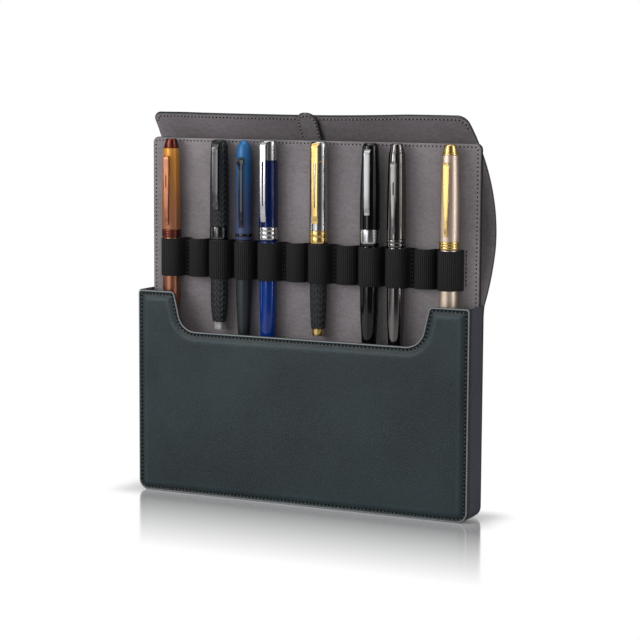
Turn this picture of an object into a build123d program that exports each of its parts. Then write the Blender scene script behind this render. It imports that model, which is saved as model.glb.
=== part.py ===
from build123d import *
import math
import os

os.makedirs("parts", exist_ok=True)

# Case, in millimetres: X across, Y front (-) to back (+), Z up from the base
case_depth = 26.0
case_height = 138.0
gusset_half = 122.5
gusset_thick = 1.3
panel_step = 0.7
panel_half = gusset_half - panel_step
panel_corner = 7.0
panel_top_corner = 2.0

# Layers of a case panel, from the outside in
leather_thick = 1.1
core_thick = 1.0
lining_thick = 0.7
panel_thick = leather_thick + core_thick + lining_thick
core_inset = 4.6
pad_inset = 3.6
pad_slope = 60.0
outer_y = case_depth / 2
inner_y = outer_y - panel_thick
inner_half = gusset_half - gusset_thick

# Scoop cut in the front panel
scoop_floor_z = 111.5
scoop_top_half = 94.0
scoop_floor_half = 87.8
scoop_round = 3.5
scoop_fillet = 13.0

# Sliding insert board, drawn up as in use
side_gap = 0.5
back_gap = 0.4
insert_half = inner_half - side_gap
insert_height = 136.0
insert_top_z = 241.6
insert_bottom_z = insert_top_z - insert_height
insert_thick = 3.4
insert_back_y = inner_y - back_gap
insert_face_y = insert_back_y - insert_thick
insert_mid_y = insert_face_y + insert_thick / 2
insert_core_thick = 1.8
insert_core_inset = 3.2
insert_top_corner = 4.0
insert_bottom_corner = 9.0

# Elastic band with its twelve loops
loop_count = 12
band_margin = 7.9
band_half = insert_half - band_margin
band_end_flat = 2.4
loop_pitch = (2 * band_half - band_end_flat) / loop_count
loop_first_x = -loop_pitch * (loop_count - 1) / 2
band_bottom_z = 147.5
band_height = 26.2
band_top_z = band_bottom_z + band_height
band_thick = 0.9
empty_loop_half = 6.4
empty_loop_lift = 1.2

# Running clearance between bodies
gap = 0.3

# Flap, an arc that stands up behind the board
flap_leather = 1.0
flap_lining = 1.0
bead_radius = flap_leather
hinge_z = case_height
hinge_y = inner_y + lining_thick + leather_thick + bead_radius + gap
flap_back_deg = 39.0
flap_front_deg = 38.3
flap_rise = 120.3
sine_sum = math.sin(math.radians(flap_back_deg)) + math.sin(math.radians(flap_front_deg))
flap_radius = flap_rise / sine_sum
arc_y = hinge_y - flap_radius * math.cos(math.radians(flap_back_deg))
arc_z = hinge_z + flap_radius * math.sin(math.radians(flap_back_deg))
fold_length = 26.0
fold_deg = flap_back_deg - math.degrees(fold_length / flap_radius)
flap_setback = 0.3
flap_half = panel_half - flap_setback
flap_taper_z = hinge_z + 57.0
flap_draw_in = 5.5
flap_end_half = flap_half - flap_draw_in
flap_end_z = hinge_z + flap_rise
flap_slouch = 9.4
flap_corner = 6.0

# Closing tab and its magnets
tab_half = 8.0
tab_length = 32.0
tab_overhang = 2.3
tab_thick = 1.8
tab_corner = 5.5
tab_x = 2.2 - flap_slouch
magnet_radius = 4.0
magnet_thick = 1.0
magnet_setback = 9.0
front_magnet_z = 33.0

# Pens, sizes that more than one of them shares
round_sides = 20
cap_broad = 13.4
cap_full = 13.1
cap_mid = 12.6
cap_slim = 12.0
barrel_step = 1.3
top_wide = 12.0
top_full = 11.6
top_slim = 10.6
top_small = 10.2
tip_wide = 9.4
tip_mid = 7.4
tip_small = 5.6
tip_point = 1.0
pen_length = 136.0
pen_short = 127.6
pen_drop = 0.8
taper_long = 38.0
taper_full = 22.0
taper_mid = 15.0
taper_short = 7.0
tail_wide = 10.2
tail_full = 7.6
end_tall = 5.0
end_thin = 2.2
end_inset = 0.8
ring_tall = 9.4
ring_mid = 8.4
ring_full = 5.0
ring_thin = 1.8
ring_proud = 0.1
cap_straight = 14.0
belly_rise = 0.55
belly_draw = 0.3
finial_full = 6.4
finial_tall = 13.0
finial_wide = 12.0
finial_slim = 10.0
finial_edge = 0.9
collar_slope = 0.6
dome_long = 9.4
dome_tall = 5.0
dome_full = 3.0
clip_wide = 5.4
clip_full = 4.4
clip_slim = 3.0
clip_draw = 0.6
clip_taper = 3.0
clip_thick = 0.8
clip_stand = 2.2
clip_root = 2.4
clip_drop_high = 1.6
clip_drop_low = 11.4
clip_rise_high = 20.0
clip_rise_mid = 13.0
clip_rise_low = 8.4
clip_foot = 8.0
stem_half = 1.5
slot_width = 1.4
slot_head = 12.0
slot_foot = 10.5
slot_foot_short = 27.0

# Pens, what is inside the cap
cap_lip_z = band_top_z + 2 * gap
shoulder_z = cap_lip_z - gap
socket_radius = 4.0
socket_depth = 12.0
grip_radius = 4.6
grip_top_radius = 4.1
grip_length = 29.0
grip_top_z = shoulder_z + grip_length
nib_length = 13.0
nib_radius = 2.4
nib_tip_radius = 0.5
nib_tip_z = grip_top_z + nib_length
bore_radius = grip_radius + gap + 0.1
bore_spare = 6.0
bore_top_z = nib_tip_z + bore_spare


class Pen:
    """One capped pen in its loop; widths are diameters, and heights run along Z."""

    def __init__(self, name, loop, cap=cap_full, top=top_full, length=pen_length, taper=taper_full,
                 tail=tail_full, ring=ring_full, clip=clip_full, drop=clip_drop_high, rise=clip_rise_mid,
                 draw=clip_draw, slot=0.0, finial=0.0, finial_d=finial_slim, dome=0.0, tip=tip_mid,
                 end=0.0):
        self.name = name
        self.loop = loop
        self.x = loop_first_x + loop_pitch * (loop - 1)
        self.cap_r = cap / 2
        self.y = insert_face_y - gap - self.cap_r
        self.barrel_r = (cap - barrel_step) / 2
        self.top_r = top / 2
        self.top_z = insert_top_z - pen_drop
        self.cap_top_z = self.top_z - finial
        self.bottom_z = self.top_z - length
        self.taper = taper
        self.tail_r = tail / 2
        self.ring = ring
        self.clip_w = clip
        self.clip_foot_w = clip - draw
        self.clip_high = self.top_z - drop
        self.clip_low = cap_lip_z + rise
        self.clip_inside = drop > finial > 0
        self.slot_low = slot
        self.finial = finial
        self.finial_r = finial_d / 2
        self.dome = dome
        self.tip_r = tip / 2
        self.end = end


pens = [
    Pen("amber", 1, top=top_slim, finial=finial_full, drop=clip_drop_low, rise=clip_rise_low,
        clip=clip_wide, draw=clip_taper, slot=slot_foot_short),
    Pen("woven", 3, length=pen_short, taper=taper_short, tail=tail_wide, ring=ring_mid,
        clip=clip_wide, rise=clip_rise_high, dome=dome_tall, tip=tip_small, end=end_tall),
    Pen("blue", 4, cap=cap_slim, top=top_small, taper=taper_long, ring=ring_thin, clip=clip_slim,
        drop=clip_drop_low, rise=clip_rise_low, dome=dome_long, tip=tip_point),
    Pen("navy", 5, top=top_wide, taper=taper_mid, ring=ring_mid, slot=slot_foot,
        finial=finial_tall, finial_d=finial_wide, tip=tip_wide),
    Pen("carbon", 7, cap=cap_mid, length=pen_short, taper=taper_short, tail=tail_wide,
        ring=ring_mid, clip=clip_wide, slot=slot_foot, dome=dome_full, tip=tip_wide, end=end_thin),
    Pen("black", 9, cap=cap_broad, top=top_slim, ring=ring_tall, rise=clip_rise_high,
        dome=dome_full, tip=tip_small),
    Pen("gunmetal", 10, cap=cap_mid, top=top_slim, finial=finial_full, drop=clip_drop_low,
        rise=clip_rise_low, clip=clip_wide, draw=clip_taper, slot=slot_foot_short),
    Pen("champagne", 12, top=top_slim, finial=finial_full, drop=clip_drop_low,
        rise=clip_rise_low, clip=clip_wide, draw=clip_taper),
]


def along_y(face, y_low, y_high):
    """Extrude a face drawn on the XZ plane so that it fills the given Y range."""
    solid = extrude(face, y_high - y_low, dir=(0, 1, 0))
    return solid.moved(Location((0, y_low, 0)))


def xz_face(points, radii):
    """Closed outline in X and Z with one corner radius to each point."""
    outline = FilletPolyline([(x, 0, z) for x, z in points], radius=radii, close=True)
    return make_face(outline)


def front_points():
    return [
        (-panel_half, 0.0), (panel_half, 0.0), (panel_half, case_height),
        (scoop_top_half, case_height), (scoop_floor_half, scoop_floor_z),
        (-scoop_floor_half, scoop_floor_z), (-scoop_top_half, case_height),
        (-panel_half, case_height),
    ]


def front_face():
    radii = [panel_corner, panel_corner, panel_top_corner, scoop_round,
             scoop_fillet, scoop_fillet, scoop_round, panel_top_corner]
    return xz_face(front_points(), radii)


def back_face():
    points = [(-panel_half, 0.0), (panel_half, 0.0), (panel_half, case_height), (-panel_half, case_height)]
    return xz_face(points, [panel_corner, panel_corner, panel_top_corner, panel_top_corner])


def pad_solid(face, inset, base_y, height, side):
    """Low plateau over an inset outline, its edges sloped; side is -1 for front, 1 for back."""
    inner = offset(face, -inset, kind=Kind.INTERSECTION)
    plateau = extrude(inner, height, dir=(0, side, 0), taper=pad_slope)
    return plateau.moved(Location((0, side * base_y, 0)))


def magnet_disc():
    """Disc that lies across Y, centred on the origin."""
    disc = extrude(RegularPolygon(magnet_radius, round_sides), magnet_thick / 2, both=True)
    return disc.rotate(Axis.X, 90)


def case_core(face, side):
    return pad_solid(face, core_inset, inner_y + lining_thick, core_thick, side)


def case_leather(face, side):
    low = inner_y + lining_thick
    flange = along_y(face, min(side * low, side * (low + leather_thick)),
                     max(side * low, side * (low + leather_thick)))
    pad = pad_solid(face, pad_inset, low + leather_thick, core_thick, side)
    return flange + pad - case_core(face, side)


def case_lining(face, side):
    return along_y(face, min(side * inner_y, side * (inner_y + lining_thick)),
                   max(side * inner_y, side * (inner_y + lining_thick)))


def front_magnet():
    middle_y = inner_y + lining_thick + core_thick / 2
    return magnet_disc().moved(Location((0, -middle_y, front_magnet_z)))


def front_core():
    return case_core(front_face(), -1) - front_magnet()


def gusset():
    """One strip from the left mouth down, along the base and up the right side."""
    points = [(-gusset_half, 0.0), (gusset_half, 0.0), (gusset_half, case_height), (-gusset_half, case_height)]
    round_out = panel_corner + panel_step
    round_in = round_out - gusset_thick
    top = case_height + gusset_thick
    outer = xz_face(points, [round_out, round_out, 0.0, 0.0])
    hollow = [(-inner_half, gusset_thick), (inner_half, gusset_thick), (inner_half, top), (-inner_half, top)]
    inner = xz_face(hollow, [round_in, round_in, 0.0, 0.0])
    return along_y(outer - inner, -inner_y, inner_y)


def insert_face(inset):
    half = insert_half - inset
    points = [(-half, insert_bottom_z + inset), (half, insert_bottom_z + inset),
              (half, insert_top_z - inset), (-half, insert_top_z - inset)]
    low_round = insert_bottom_corner - inset
    high_round = max(insert_top_corner - inset, 0.6)
    return xz_face(points, [low_round, low_round, high_round, high_round])


def insert_core():
    low = insert_mid_y - insert_core_thick / 2
    return along_y(insert_face(insert_core_inset), low, low + insert_core_thick)


def insert_front_cover():
    return along_y(insert_face(0.0), insert_face_y, insert_mid_y) - insert_core()


def insert_back_cover():
    return along_y(insert_face(0.0), insert_mid_y, insert_back_y) - insert_core()


def arch(x, y, radius):
    """A D shape: a round of the given radius at (x, y) run straight back to the board."""
    straight = Pos(x, (y + insert_face_y) / 2) * Rectangle(2 * radius, insert_face_y - y)
    return Pos(x, y) * RegularPolygon(radius, round_sides) + straight


def clear_arch(x, y, radius):
    """The same D, cut off at the board's face."""
    block = Pos(x, insert_face_y - 15) * Rectangle(40, 30)
    return arch(x, y, radius) & block


def elastic_band():
    flats = Pos(0, insert_face_y - band_thick / 2) * Rectangle(2 * band_half, band_thick)
    filled = {pen.loop: pen for pen in pens}
    shape = flats
    hollows = []
    for loop in range(1, loop_count + 1):
        x = loop_first_x + loop_pitch * (loop - 1)
        if loop in filled:
            y = filled[loop].y
            radius = filled[loop].barrel_r + gap
        else:
            y = insert_face_y - empty_loop_lift
            radius = empty_loop_half
        shape = shape + clear_arch(x, y, radius + band_thick)
        hollows.append(clear_arch(x, y, radius))
    for hollow in hollows:
        shape = shape - hollow
    return extrude(shape, band_height).moved(Location((0, 0, band_bottom_z)))


def arc_point(radius, deg):
    """Point of the flap's arc in Y and Z; degrees run from the hinge (+) to the end (-)."""
    turn = math.radians(deg)
    return (0, arc_y + radius * math.cos(turn), arc_z - radius * math.sin(turn))


def arc_sheet(r_low, r_high, deg_low, deg_high, half):
    """Curved sheet between two radii and two angles, centred across X."""
    mid = (deg_low + deg_high) / 2
    inner = ThreePointArc(arc_point(r_low, deg_low), arc_point(r_low, mid), arc_point(r_low, deg_high))
    outer = ThreePointArc(arc_point(r_high, deg_low), arc_point(r_high, mid), arc_point(r_high, deg_high))
    first = Line(inner @ 0, outer @ 0)
    last = Line(inner @ 1, outer @ 1)
    face = make_face([inner, last, outer, first])
    return extrude(face, half, dir=(1, 0, 0), both=True)


def flap_outline():
    """Sides of the flap seen from the front, tapered and slouched a little to one side."""
    end = flap_end_z + 10
    run = (end - flap_taper_z) / (flap_end_z - flap_taper_z)
    end_half = flap_half - (flap_half - flap_end_half) * run
    lean = flap_slouch * run
    points = [(-flap_half, hinge_z - 5), (flap_half, hinge_z - 5), (flap_half, flap_taper_z),
              (end_half - lean, end), (-end_half - lean, end), (-flap_half, flap_taper_z)]
    return along_y(make_face(Polyline([(x, 0, z) for x, z in points], close=True)), -40, 60)


def round_end(sheet, thick, radius, z_low):
    """Round the two free corners at the end of a curved sheet."""
    corners = [e for e in sheet.edges() if abs(e.length - thick) < 0.05 and e.center().Z > z_low]
    return fillet(corners, radius)


def flap_sheet(r_low, r_high, deg_low, deg_high):
    return arc_sheet(r_low, r_high, deg_low, deg_high, flap_half + 5) & flap_outline()


def bead(deg, radius):
    """Round edge along a crease, about the point of the arc at that angle."""
    place = arc_point(flap_radius, deg)
    rod = Cylinder(radius, 2 * flap_half, rotation=(0, 90, 0))
    return rod.moved(Location((0, place[1], place[2])))


def flap_top_leather():
    sheet = flap_sheet(flap_radius, flap_radius + flap_leather, flap_back_deg, fold_deg)
    return sheet + bead(flap_back_deg, bead_radius) - bead(fold_deg, bead_radius + gap)


def flap_top_lining():
    sheet = flap_sheet(flap_radius - flap_lining, flap_radius, flap_back_deg, fold_deg)
    return sheet - bead(flap_back_deg, bead_radius) - bead(fold_deg, bead_radius + gap)


def flap_front_leather():
    sheet = flap_sheet(flap_radius, flap_radius + flap_leather, fold_deg, -flap_front_deg)
    return round_end(sheet, flap_leather, flap_corner, flap_end_z - 5) + bead(fold_deg, bead_radius)


def flap_front_lining():
    sheet = flap_sheet(flap_radius - flap_lining, flap_radius, fold_deg, -flap_front_deg)
    return round_end(sheet, flap_lining, flap_corner, flap_end_z - 5) - bead(fold_deg, bead_radius)


def tab_magnet():
    radius = flap_radius - flap_lining - tab_thick / 2
    deg = -flap_front_deg + math.degrees((magnet_setback - tab_overhang) / radius)
    place = arc_point(radius, deg)
    return magnet_disc().rotate(Axis.X, -deg).moved(Location((tab_x, place[1], place[2])))


def tab_leather():
    r_high = flap_radius - flap_lining
    end_deg = -flap_front_deg - math.degrees(tab_overhang / r_high)
    start_deg = end_deg + math.degrees(tab_length / r_high)
    sheet = arc_sheet(r_high - tab_thick, r_high, start_deg, end_deg, tab_half)
    sheet = round_end(sheet, tab_thick, tab_corner, flap_end_z - 5)
    return sheet.moved(Location((tab_x, 0, 0))) - tab_magnet()


def frustum(pen, low, low_radius, high, high_radius):
    """Many-sided prism about the pen's axis, drawn from its wide end so that its faces stay flat."""
    up = 1 if low_radius >= high_radius else -1
    start = low if up > 0 else high
    face = Pos(pen.x, pen.y, start) * RegularPolygon(max(low_radius, high_radius), round_sides)
    step = abs(low_radius - high_radius) * math.cos(math.pi / round_sides)
    return extrude(face, high - low, dir=(0, 0, up), taper=math.degrees(math.atan2(step, high - low)))


def turned(pen, levels):
    """Turned solid through (height, radius) levels."""
    solid = None
    for (low, low_radius), (high, high_radius) in zip(levels, levels[1:]):
        piece = frustum(pen, low, low_radius, high, high_radius)
        solid = piece if solid is None else solid + piece
    return solid


def rounded_top(radius, tip_radius, top_z, height):
    """Levels of an upper end that rounds in from the side to a flat tip."""
    turns = [math.radians(angle) for angle in (0, 30, 60, 90)]
    return [(top_z - height * (1 - math.sin(t)), tip_radius + (radius - tip_radius) * math.cos(t))
            for t in turns]


def pen_barrel(pen):
    low = pen.bottom_z + pen.end
    levels = [(low, pen.tail_r), (low + pen.taper, pen.barrel_r), (shoulder_z, pen.barrel_r)]
    socket = turned(pen, [(shoulder_z - socket_depth, socket_radius), (shoulder_z, socket_radius)])
    return turned(pen, levels) - socket


def pen_end(pen):
    """Separate end piece of the barrel."""
    radius = pen.tail_r - end_inset
    return turned(pen, [(pen.bottom_z, radius), (pen.bottom_z + pen.end, radius)])


def pen_section(pen):
    """Grip with its tenon in the barrel and the writing point."""
    tenon = turned(pen, [(shoulder_z - socket_depth, socket_radius), (shoulder_z, socket_radius)])
    grip = turned(pen, [(shoulder_z, grip_radius), (grip_top_z, grip_top_radius)])
    nib = turned(pen, [(grip_top_z, nib_radius), (nib_tip_z, nib_tip_radius)])
    return tenon + grip + nib


def pen_ring(pen):
    """Metal band at the cap's mouth."""
    high = cap_lip_z + pen.ring
    outer = turned(pen, [(cap_lip_z, pen.cap_r), (high, pen.cap_r)])
    return outer - turned(pen, [(cap_lip_z, bore_radius), (high, bore_radius)])


def pen_cap(pen):
    """Cap that bellies in from its mouth to its top, bored for the grip and cut for the clip."""
    low = cap_lip_z + pen.ring
    side = pen.cap_r - ring_proud
    straight = low + cap_straight
    belly_z = straight + (pen.cap_top_z - pen.dome - straight) * belly_rise
    levels = [(low, side), (straight, side), (belly_z, side - (side - pen.top_r) * belly_draw)]
    if pen.dome:
        levels += rounded_top(pen.top_r, pen.tip_r, pen.cap_top_z, pen.dome)
    else:
        levels.append((pen.cap_top_z, pen.top_r))
    solid = turned(pen, levels) - turned(pen, [(low, bore_radius), (bore_top_z, bore_radius)])
    if pen.clip_high < pen.cap_top_z:
        solid = solid - pen_clip(pen)
    return solid


def clip_side(pen):
    """Side view of the clip in Y and Z, standing off the front of the cap."""
    high, low = pen.clip_high, pen.clip_low
    front = pen.cap_r + clip_stand
    inner = front - clip_thick
    root = -stem_half if pen.clip_inside else pen.top_r - clip_root
    points = [
        (-root, high + clip_thick), (-inner, high + clip_thick), (-front, high - clip_thick),
        (-front, low + clip_foot / 2), (-inner, low), (-pen.cap_r - gap, low + clip_foot / 4),
        (-pen.cap_r - gap, low + clip_foot / 2), (-inner, low + clip_foot),
        (-inner, high - clip_thick), (-inner + clip_thick, high), (-root, high),
    ]
    face = make_face(Polyline([(0, y, z) for y, z in points], close=True))
    return extrude(face, pen.clip_w, dir=(1, 0, 0), both=True)


def clip_front(top_w, foot_w, high, low, y_low, y_high):
    """Front view of a tapered strip, square at the head and pointed round at the foot."""
    points = [(-top_w / 2, high), (-foot_w / 2, low + foot_w / 2), (-foot_w / 4, low),
              (foot_w / 4, low), (foot_w / 2, low + foot_w / 2), (top_w / 2, high)]
    return along_y(make_face(Polyline([(x, 0, z) for x, z in points], close=True)), y_low, y_high)


def pen_finial(pen):
    """Collar and finial on top of the cap."""
    base = pen.cap_top_z + clip_thick
    collar = turned(pen, [(pen.cap_top_z, pen.top_r), (base, pen.top_r)])
    levels = [(base, pen.finial_r - collar_slope), (base + collar_slope, pen.finial_r)]
    levels += rounded_top(pen.finial_r - finial_edge, pen.tip_r, pen.top_z, finial_edge)
    return collar + turned(pen, levels)


def pen_stem(pen):
    """Square stem in the cap that joins the clip's root to the finial."""
    height = pen.cap_top_z - pen.clip_high
    stem = Box(2 * stem_half, 2 * stem_half, height, align=(Align.CENTER, Align.CENTER, Align.MIN))
    return stem.moved(Location((pen.x, pen.y, pen.clip_high)))


def pen_clip(pen):
    """Clip, in one with the finial where the pen has one."""
    high, low = pen.clip_high, pen.clip_low
    reach = pen.cap_r + clip_stand + gap
    solid = clip_side(pen) & clip_front(pen.clip_w, pen.clip_foot_w, high + clip_thick, low, -reach, stem_half)
    if pen.slot_low:
        slot = clip_front(slot_width, slot_width / 2, high - slot_head, low + pen.slot_low, -reach, -pen.cap_r)
        solid = solid - slot
    solid = solid.moved(Location((pen.x, pen.y, 0)))
    if pen.finial:
        solid = solid + pen_finial(pen)
    if pen.clip_inside:
        solid = solid + pen_stem(pen)
    return solid


def save(shape, name):
    export_step(shape, "parts/" + name + ".step")


save(case_leather(front_face(), -1), "front_leather")
save(front_core(), "front_core")
save(case_lining(front_face(), -1), "front_lining")
save(front_magnet(), "front_magnet")
save(gusset(), "gusset")
save(case_leather(back_face(), 1), "back_leather")
save(case_core(back_face(), 1), "back_core")
save(case_lining(back_face(), 1), "back_lining")
save(flap_top_leather(), "flap_top_leather")
save(flap_top_lining(), "flap_top_lining")
save(flap_front_leather(), "flap_front_leather")
save(flap_front_lining(), "flap_front_lining")
save(tab_leather(), "tab_leather")
save(tab_magnet(), "tab_magnet")
save(insert_core(), "insert_core")
save(insert_front_cover(), "insert_front_cover")
save(insert_back_cover(), "insert_back_cover")
save(elastic_band(), "elastic_band")

for pen in pens:
    save(pen_barrel(pen), pen.name + "_barrel")
    save(pen_section(pen), pen.name + "_section")
    save(pen_cap(pen), pen.name + "_cap")
    save(pen_ring(pen), pen.name + "_cap_ring")
    save(pen_clip(pen), pen.name + "_clip")
    if pen.end:
        save(pen_end(pen), pen.name + "_barrel_end")
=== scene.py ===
"""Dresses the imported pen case: leather, stitching, elastic loops, flap and pens."""

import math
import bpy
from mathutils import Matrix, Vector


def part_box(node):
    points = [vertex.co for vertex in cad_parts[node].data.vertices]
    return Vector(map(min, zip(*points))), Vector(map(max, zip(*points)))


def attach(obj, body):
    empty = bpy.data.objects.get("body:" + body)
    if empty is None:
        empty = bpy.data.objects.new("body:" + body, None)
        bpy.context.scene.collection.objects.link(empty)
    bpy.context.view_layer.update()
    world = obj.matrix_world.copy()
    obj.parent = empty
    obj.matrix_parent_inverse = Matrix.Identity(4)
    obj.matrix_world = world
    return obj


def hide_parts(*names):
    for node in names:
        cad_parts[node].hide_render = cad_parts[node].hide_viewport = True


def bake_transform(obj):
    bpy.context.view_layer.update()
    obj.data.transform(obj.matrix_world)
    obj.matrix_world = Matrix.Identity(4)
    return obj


bl_info = {
    "name": "Pen case",
    "version": (1, 0, 0),
    "blender": (4, 5, 0),
    "location": "View3D > Sidebar > Pen case",
    "description": "Leather case with a pull-up board of pens in elastic loops",
    "category": "Object",
}

import bmesh
import bpy
from mathutils import Matrix, Vector

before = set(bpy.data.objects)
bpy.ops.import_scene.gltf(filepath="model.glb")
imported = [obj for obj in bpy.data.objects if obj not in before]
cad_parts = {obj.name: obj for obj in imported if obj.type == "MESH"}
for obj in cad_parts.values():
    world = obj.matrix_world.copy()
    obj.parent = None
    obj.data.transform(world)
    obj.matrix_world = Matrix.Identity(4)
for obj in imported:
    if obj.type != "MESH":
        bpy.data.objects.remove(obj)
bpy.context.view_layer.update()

MM = 0.001
TURNED_SIDES = 64


# Sizes and colours that a user may change

def length(name, description, millimetres):
    return bpy.props.FloatProperty(name=name, description=description, default=millimetres * MM,
                                   min=0.0, subtype="DISTANCE", unit="LENGTH")


def colour(name, description, rgb):
    return bpy.props.FloatVectorProperty(name=name, description=description, default=rgb,
                                         size=3, min=0.0, max=1.0, subtype="COLOR")


class CaseSizes(bpy.types.PropertyGroup):
    scoop_floor: length("Scoop floor", "Height of the scoop's floor above the base", 111.5)
    scoop_top_half: length("Scoop mouth", "Half width of the scoop at the top edge", 94.0)
    scoop_floor_half: length("Scoop base", "Half width of the scoop at its floor", 87.8)
    base_corner: length("Base corner", "Radius of the panels' lower corners", 7.0)
    stitch_inset: length("Stitch inset", "Distance of the stitching from an edge", 2.3)
    stitch_pitch: length("Stitch pitch", "Distance from one stitch to the next", 2.7)
    stitch_length: length("Stitch length", "Length of the thread that shows", 1.35)
    thread: length("Thread", "Thickness of the sewing thread", 0.5)
    hole: length("Needle hole shade", "Width of the mark that the needle leaves", 1.3)
    pad_rise: length("Pad rise", "How far the padded middle stands out", 1.0)
    elastic_thick: length("Elastic", "Thickness of the elastic band", 0.84)
    rib_pitch: length("Rib pitch", "Distance from one rib of the elastic to the next", 1.3)


class CaseColours(bpy.types.PropertyGroup):
    leather: colour("Case leather", "Front, back and outer flap", (0.014, 0.025, 0.0285))
    gusset: colour("Gusset leather", "Strip round the sides and base", (0.058, 0.061, 0.074))
    lining: colour("Lining", "Inside of the case and flap", (0.170, 0.152, 0.161))
    insert: colour("Insert leather", "Covers of the pull-up board", (0.205, 0.186, 0.196))
    edge: colour("Edge paint", "Painted cut edges", (0.012, 0.012, 0.013))
    thread: colour("Thread", "Sewing on the case", (0.075, 0.088, 0.092))
    insert_thread: colour("Insert thread", "Sewing on the board and lining", (0.330, 0.305, 0.315))
    elastic: colour("Elastic", "Ribbed elastic band", (0.012, 0.012, 0.013))


class PenColours(bpy.types.PropertyGroup):
    amber_top: colour("Amber cap, top", "Upper end of the amber cap", (0.58, 0.24, 0.03))
    amber_low: colour("Amber cap, mouth", "Lower end of the amber cap", (0.29, 0.105, 0.045))
    copper: colour("Copper", "Copper clip and barrel", (0.32, 0.135, 0.078))
    garnet: colour("Garnet", "Amber pen's finial and band", (0.15, 0.040, 0.028))
    woven: colour("Woven black", "Woven cap and barrel", (0.020, 0.022, 0.024))
    blue_top: colour("Blue cap, top", "Upper end of the blue cap", (0.010, 0.115, 0.300))
    blue_low: colour("Blue cap, mouth", "Lower end of the blue cap", (0.030, 0.048, 0.125))
    slate: colour("Slate", "Barrel of the blue pen", (0.010, 0.014, 0.018))
    navy: colour("Navy", "Cap of the navy pen", (0.002, 0.008, 0.062))
    royal: colour("Royal blue", "Barrel of the navy pen", (0.002, 0.024, 0.160))
    black: colour("Black", "Gloss black resin", (0.003, 0.003, 0.003))
    chrome: colour("Chrome", "Polished bright metal", (0.52, 0.52, 0.53))
    gold: colour("Gold", "Gold plated trim", (0.66, 0.46, 0.17))
    gunmetal: colour("Gunmetal", "Dark polished metal", (0.165, 0.156, 0.152))
    champagne: colour("Champagne", "Satin champagne metal", (0.58, 0.465, 0.38))
    pale_end: colour("Pale end", "Knurled end of the woven barrel", (0.62, 0.62, 0.62))


# Modelling helpers

def start():
    """Object mode with nothing selected."""
    if bpy.context.mode != "OBJECT":
        bpy.ops.object.mode_set(mode="OBJECT")
    bpy.ops.object.select_all(action="DESELECT")


def add_object(name, data):
    made = bpy.data.objects.new(name, data)
    bpy.context.scene.collection.objects.link(made)
    return made


def take(piece):
    """Object mode with only this piece selected and active."""
    start()
    piece.select_set(True)
    bpy.context.view_layer.objects.active = piece


def finish_piece(piece, body, materials, smooth_deg=35.0, replaces=()):
    """Smooth shading, materials, and the body that the piece rides on."""
    take(piece)
    bpy.ops.object.shade_smooth_by_angle(angle=math.radians(smooth_deg))
    if not piece.data.materials:
        for material in materials:
            piece.data.materials.append(material)
    if body:
        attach(piece, body)
    if replaces:
        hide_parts(*replaces)
    return piece


def loft(name, rings, ends=(True, True)):
    """Skin through rings of points: a circle is placed, then extruded from ring to ring."""
    start()
    sides = len(rings[0])
    bpy.ops.mesh.primitive_circle_add(vertices=sides, radius=MM, fill_type="NOTHING")
    piece = bpy.context.object
    piece.name = name
    piece.data.name = name
    while piece.data.uv_layers:
        piece.data.uv_layers.remove(piece.data.uv_layers[0])
    bpy.ops.object.mode_set(mode="EDIT")
    bpy.ops.mesh.select_all(action="SELECT")
    for number, ring in enumerate(rings):
        if number:
            bpy.ops.mesh.extrude_edges_move()
        mesh = bmesh.from_edit_mesh(piece.data)
        mesh.verts.ensure_lookup_table()
        for side, point in enumerate(ring):
            mesh.verts[number * sides + side].co = point
    if ends[1]:
        bpy.ops.mesh.edge_face_add()
    if ends[0]:
        bpy.ops.mesh.select_all(action="DESELECT")
        mesh = bmesh.from_edit_mesh(piece.data)
        mesh.verts.ensure_lookup_table()
        for side in range(sides):
            mesh.verts[side].select = True
        mesh.select_flush(True)
        bpy.ops.mesh.edge_face_add()
    bpy.ops.mesh.select_all(action="SELECT")
    bpy.ops.mesh.normals_make_consistent(inside=False)
    bpy.ops.object.mode_set(mode="OBJECT")
    return piece


def wrap_uv(piece, rings, along):
    """UV map in millimetres: U round each ring, V along the rings by the given distances."""
    sides = len(rings[0])
    layer = piece.data.uv_layers.new(name="surface")
    rounds = []
    for ring in rings:
        total, marks = 0.0, [0.0]
        for side in range(sides):
            total += (Vector(ring[(side + 1) % sides]) - Vector(ring[side])).length
            marks.append(total)
        rounds.append(marks)
    for face in piece.data.polygons:
        closing = {v % sides for v in face.vertices} >= {0, sides - 1}
        for loop in face.loop_indices:
            vertex = piece.data.loops[loop].vertex_index
            ring, side = divmod(vertex, sides)
            if closing and side == 0:
                side = sides
            layer.data[loop].uv = (rounds[ring][side] / MM, along[ring] / MM)


def paint(piece, sides, first_ring, last_ring, index, keep=None):
    """Give the faces between two rings a material; keep picks some of them by their side."""
    for face in piece.data.polygons:
        if len(face.vertices) == 4:
            ring = min(v // sides for v in face.vertices)
            spots = {v % sides for v in face.vertices}
            side = sides - 1 if spots >= {0, sides - 1} else min(spots)
            if first_ring <= ring < last_ring and (keep is None or keep(side)):
                face.material_index = index


def corner_arc(before, at, after, radius, steps):
    """Points of the round that replaces a corner of an outline."""
    a = (Vector(before) - Vector(at)).normalized()
    b = (Vector(after) - Vector(at)).normalized()
    half = a.angle(b) / 2
    reach = radius / math.tan(half)
    middle = Vector(at) + (a + b).normalized() * (radius / math.sin(half))
    first = Vector(at) + a * reach - middle
    last = Vector(at) + b * reach - middle
    points = []
    for step in range(steps + 1):
        share = step / steps
        turn = first.angle(last)
        mix = (first * math.sin((1 - share) * turn) + last * math.sin(share * turn)) / math.sin(turn)
        points.append(middle + mix)
    return points


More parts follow.
